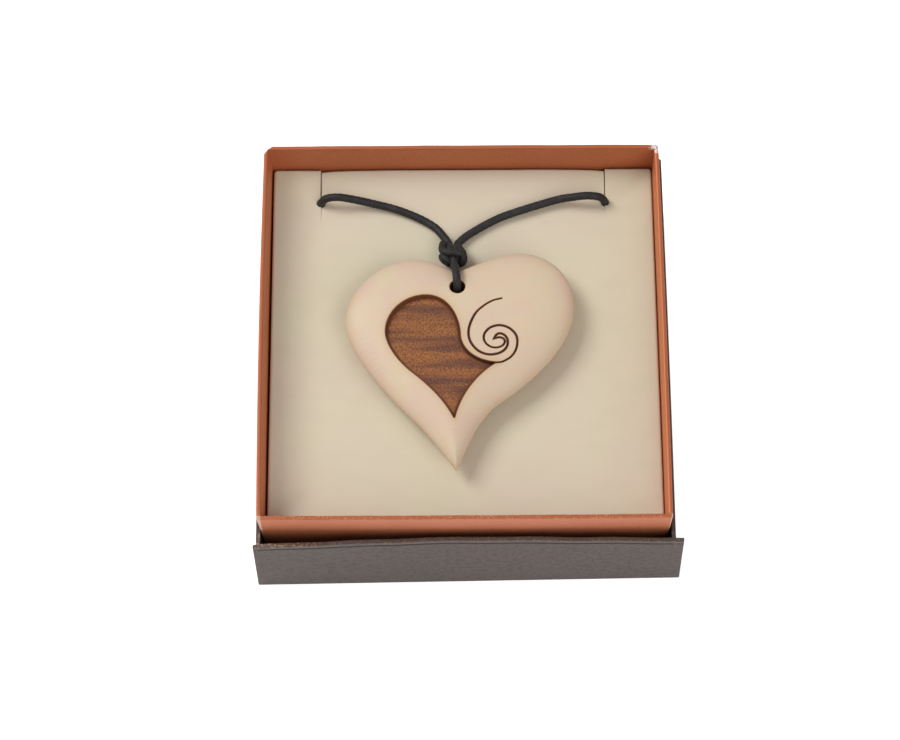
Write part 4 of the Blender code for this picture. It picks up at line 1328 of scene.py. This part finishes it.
# %% Taupe paper
def taupe_finish():
    paper = Finish("taupe_paper")
    x, y, z = paper.axes()
    aside = x.maths("ABSOLUTE")
    below_rim = LID_HEIGHT * MM - z
    front = paper.rise(y, -0.0445, -0.0455)
    fibre = paper.noise(1500.0, 4.0)
    cloud = paper.noise(50.0, 3.0)
    speck = paper.noise(1700.0, 2.0)
    mottle = paper.noise(850.0, 3.0)
    # Painted shade: a dark line along the fold just below the rim, which also dents the bump
    from_fold = (below_rim - 0.00135 - 0.0002 * paper.noise(22.0, 1.0)).maths("ABSOLUTE")
    shaded_fold = paper.rise(from_fold, 0.0006, 0.0003) * front * paper.rise(aside, 0.0459, 0.0456)
    # Painted shade: faint dark lines down the upright folds at the ends of the front wall
    from_side_fold = (aside - 0.0457).maths("ABSOLUTE")
    gold = paper.rise(below_rim, 0.0005, 0.0001) * front * paper.rise(speck, 0.5, 0.62)
    colour = paper.coats(
        (0.082, 0.062, 0.058),
        (paper.rise(cloud, 0.3, 0.7), (0.092, 0.068, 0.066)),
        (paper.rise(mottle, 0.4, 0.62) * 0.55, (0.05, 0.036, 0.032)),
        (paper.rise(fibre, 0.45, 0.68) * 0.5, (0.115, 0.09, 0.08)),
        # painted shade along the fold below the rim
        (shaded_fold * 0.85, (0.02, 0.014, 0.014)),
        # painted shade down the ears' upright folds
        (paper.rise(from_side_fold, 0.00025, 0.00004) * front * 0.35, (0.05, 0.04, 0.04)),
        (paper.rise(below_rim, 0.0012, 0.0008) * front * 0.35, (0.15, 0.125, 0.11)),
        (gold * (0.25 + 0.5 * paper.rise(x, -0.03, -0.04)), (0.42, 0.27, 0.14)))
    relief = fibre * 0.00005 - shaded_fold * 0.0001
    rough = 0.72 + 0.2 * fibre
    return paper.paint(Base_Color=colour, Roughness=rough, Normal=paper.bump(relief, 1.0, 0.6))


TAUPE = taupe_finish()

# %% The lid's board and paper
LID_PAPER = 0.2
LID_INSIDE = LID_HALF - 0.9
LID_INSIDE_FRONT = LID_FRONT + 1.0


def lid_ring(half, front, corner=0.35, ear=0.0):
    return box_ring(half, front, half, corner, ear)


def lid_paper_rings():
    """Up the outside with a crease just below the rim, over it, and down behind the board."""
    outer = lid_ring(LID_HALF, LID_FRONT, ear=EAR)
    near = lid_ring(LID_HALF - 0.12, LID_FRONT + 0.12, ear=EAR)
    on_rim = lid_ring(LID_INSIDE + 0.1, LID_INSIDE_FRONT - 0.1, 0.05)
    inner = lid_ring(LID_INSIDE, LID_INSIDE_FRONT, 0.05)
    behind = lid_ring(LID_HALF - LID_PAPER, LID_FRONT + LID_PAPER, 0.1)
    rings = [(near, 0.0), (outer, 0.12)]
    rings += [(outer, level) for level in levels_between(1.0, LID_HEIGHT - 2.2, 2.4)]
    rings += [(ring, LID_HEIGHT - down) for ring, down in (
        (outer, 1.5), (near, 1.35), (outer, 1.2), (outer, 0.15), (near, 0.0), (on_rim, 0.0),
        (inner, 0.08), (inner, LID_PAPER))]
    rings += [(behind, level)
              for level in levels_between(LID_HEIGHT - LID_PAPER - 0.02, LID_PAPER, 2.4)]
    return rings


lid_paper = skinned("lid_paper", lid_paper_rings(), lid_bend, TAUPE)
finished(lid_paper, "lid", "taupe_paper", "lid_wrap")
BOARD_LOW, BOARD_HIGH = (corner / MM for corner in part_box("lid_board"))
board_piece("lid_grey_board", "lid_board", "lid", lid_ring,
            (BOARD_HIGH.x, BOARD_LOW.y - MIDDLE_Y, 0.1),
            (LID_INSIDE + 0.02, LID_INSIDE_FRONT - 0.02, 0.05), lid_bend, TAUPE)

# %% [markdown]
# ## Bright flecks on the worn edges
#
# Along the front rim of the tray and the edge of the lid the paper's print has rubbed off in
# specks that catch the light. They repeat without a pattern along an edge, which is what a
# scatter along a curve does well: Geometry Nodes drop small flat lumps on it, each turned and
# sized by chance from a fixed seed.

# %% Geometry Nodes: flecks along an edge
def chance(bench, seed, low=None, high=None):
    """A random value for each point: a vector if its limits are vectors, otherwise a number."""
    if isinstance(low, tuple):
        settings, inputs = {"data_type": "FLOAT_VECTOR"}, {0: low, 1: high, "Seed": seed}
        return bench.node("FunctionNodeRandomValue", settings, inputs, 0)
    limits = {} if low is None else {2: low, 3: high}
    settings = {"data_type": "FLOAT"}
    return bench.node("FunctionNodeRandomValue", settings, {**limits, "Seed": seed}, 1)


def fleck_tree():
    bench, given, sizes = begun_tree("edge_flecks", [
        ("Spacing", "Float", 0.0003),
        ("Kept Share", "Float", 0.4),
        ("Smallest", "Float", 0.00005),
        ("Largest", "Float", 0.00016),
        ("Spread", "Float", 0.00012),
        ("Seed", "Int", 3),
        ("Material", "Material", None),
    ])
    seed = sizes["Seed"]
    points = bench.node("GeometryNodeCurveToPoints", {"mode": "LENGTH"}, {
        "Curve": given, "Length": sizes["Spacing"]})
    above = {"data_type": "FLOAT", "operation": "GREATER_THAN"}
    dropped = bench.node("FunctionNodeCompare", above, {
        0: chance(bench, seed), 1: sizes["Kept Share"]})
    points = bench.node("GeometryNodeDeleteGeometry", {"domain": "POINT"}, {
        "Geometry": points, "Selection": dropped})
    aside = chance(bench, seed + 1, (-1.0, -1.0, -0.6), (1.0, 1.0, 0.4))
    points = bench.node("GeometryNodeSetPosition", None, {
        "Geometry": points, "Offset": bench.scaled(aside, sizes["Spread"])})
    lump = bench.node("GeometryNodeMeshIcoSphere", None, {"Radius": 1.0, "Subdivisions": 1})
    turn = chance(bench, seed + 2, (-0.5, -0.5, -0.5), (0.5, 0.5, 0.5))
    width = chance(bench, seed + 3, sizes["Smallest"], sizes["Largest"])
    flat = bench.scaled((1.9, 0.8, 0.4), width)
    lumps = bench.node("GeometryNodeInstanceOnPoints", None, {
        "Points": points, "Instance": lump, "Rotation": turn, "Scale": flat})
    return ended_tree(bench, lumps, sizes["Material"])


FLECKS = fleck_tree()


def rubbed_finish(name, dark, bright):
    rubbed = Finish(name, Roughness=0.35, Metallic=0.5)
    spot = rubbed.noise(1400.0, 1.0)
    return rubbed.paint(Base_Color=rubbed.mix(rubbed.rise(spot, 0.35, 0.6), dark, bright))


# %% Flecks on the tray's rim and on the lid's edge
def flecks_along(name, body, slot, bend, start, end, count, y, z, finish, **sizes):
    """Flecks on one straight edge of a box, which bends with its wall."""
    line = np.column_stack([np.linspace(start, end, count), np.full(count, y), np.full(count, z)])
    curve = curve_through(name, [bend(line)])
    flecks = grown(curve, FLECKS, Material=finish, Smallest=0.00002, Largest=0.00007, **sizes)
    finished(flecks, body, slot)


flecks_along("rim_flecks", "tray", "copper_paper", tray_bend, -44.3, 44.3, 120,
             -TRAY_HALF + 0.12, RIM_Z - 0.06,
             rubbed_finish("rubbed_copper", (0.62, 0.25, 0.11), (0.85, 0.52, 0.30)), Spacing=0.0004)
flecks_along("lid_flecks", "lid", "taupe_paper", lid_bend, -46.5, 40.0, 140,
             LID_FRONT + 0.2, LID_HEIGHT - 0.02,
             rubbed_finish("rubbed_gold", (0.42, 0.26, 0.12), (0.85, 0.62, 0.36)),
             Spacing=0.0003, Seed=11)

# %% [markdown]
# ## Papers and card inside
#
# The liners, the folded card platform and the paper band round the coil are flat pieces that the
# model already has right, so they only get a finish. The paper stays in the corners are made
# again, because they lie in walls that bend. Uncoated paper is matt and slightly mottled, and
# its fibres show as a faint relief.

# %% Plain papers
def plain_paper(name, base, fleck, roughness):
    paper = Finish(name, Roughness=roughness)
    fibre = paper.noise(1800.0, 4.0)
    cloud = paper.noise(90.0, 2.0)
    share = paper.rise(fibre, 0.4, 0.7) * 0.6 + paper.rise(cloud, 0.4, 0.7) * 0.25
    colour = paper.mix(share, base, fleck)
    return paper.paint(Base_Color=colour, Normal=paper.bump(fibre, 0.00004, 0.5))


LINING = plain_paper("lining_paper", (0.74, 0.72, 0.67), (0.66, 0.63, 0.57), 0.85)
STAY = plain_paper("stay_paper", (0.52, 0.43, 0.31), (0.44, 0.35, 0.25), 0.8)
CARD = plain_paper("white_card", (0.78, 0.77, 0.74), (0.7, 0.69, 0.65), 0.7)
painted(["lid_liner", "tray_liner", "coil_tie"], LINING)


# %% Corner stays, bent with their walls
def stay_ring(low, high, thickness=0.1):
    """A right angle of paper in plan, its corner away from the middle of the box."""
    side = Vector((math.copysign(1.0, low.x + high.x), math.copysign(1.0, low.y + high.y)))
    far = Vector((high.x if side.x > 0 else low.x, high.y if side.y > 0 else low.y))
    near = Vector((low.x if side.x > 0 else high.x, low.y if side.y > 0 else high.y))
    inner = far - side * thickness
    corners = [(near.x, far.y), (far.x, far.y), (far.x, near.y),
               (inner.x, near.y), (inner.x, inner.y), (near.x, inner.y)]
    ring = []
    for here, after in zip(corners, corners[1:] + corners[:1]):
        ring += [np.add(here, np.subtract(after, here) * share) for share in (0.0, 0.25, 0.5, 0.75)]
    return np.array(ring)


for node in [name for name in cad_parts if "corner_stay" in name]:
    low, high = (corner / MM - Vector((0.0, MIDDLE_Y, 0.0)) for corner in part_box(node))
    body, bend = ("lid", lid_bend) if node.startswith("lid") else ("tray", tray_bend)
    rings = [(stay_ring(low, high), level) for level in levels_between(low.z, high.z)]
    finished(skinned(f"{body}_stay_{node[-1]}", rings, bend, STAY), body, "stay_paper", node)
painted(["pad_platform"], CARD)
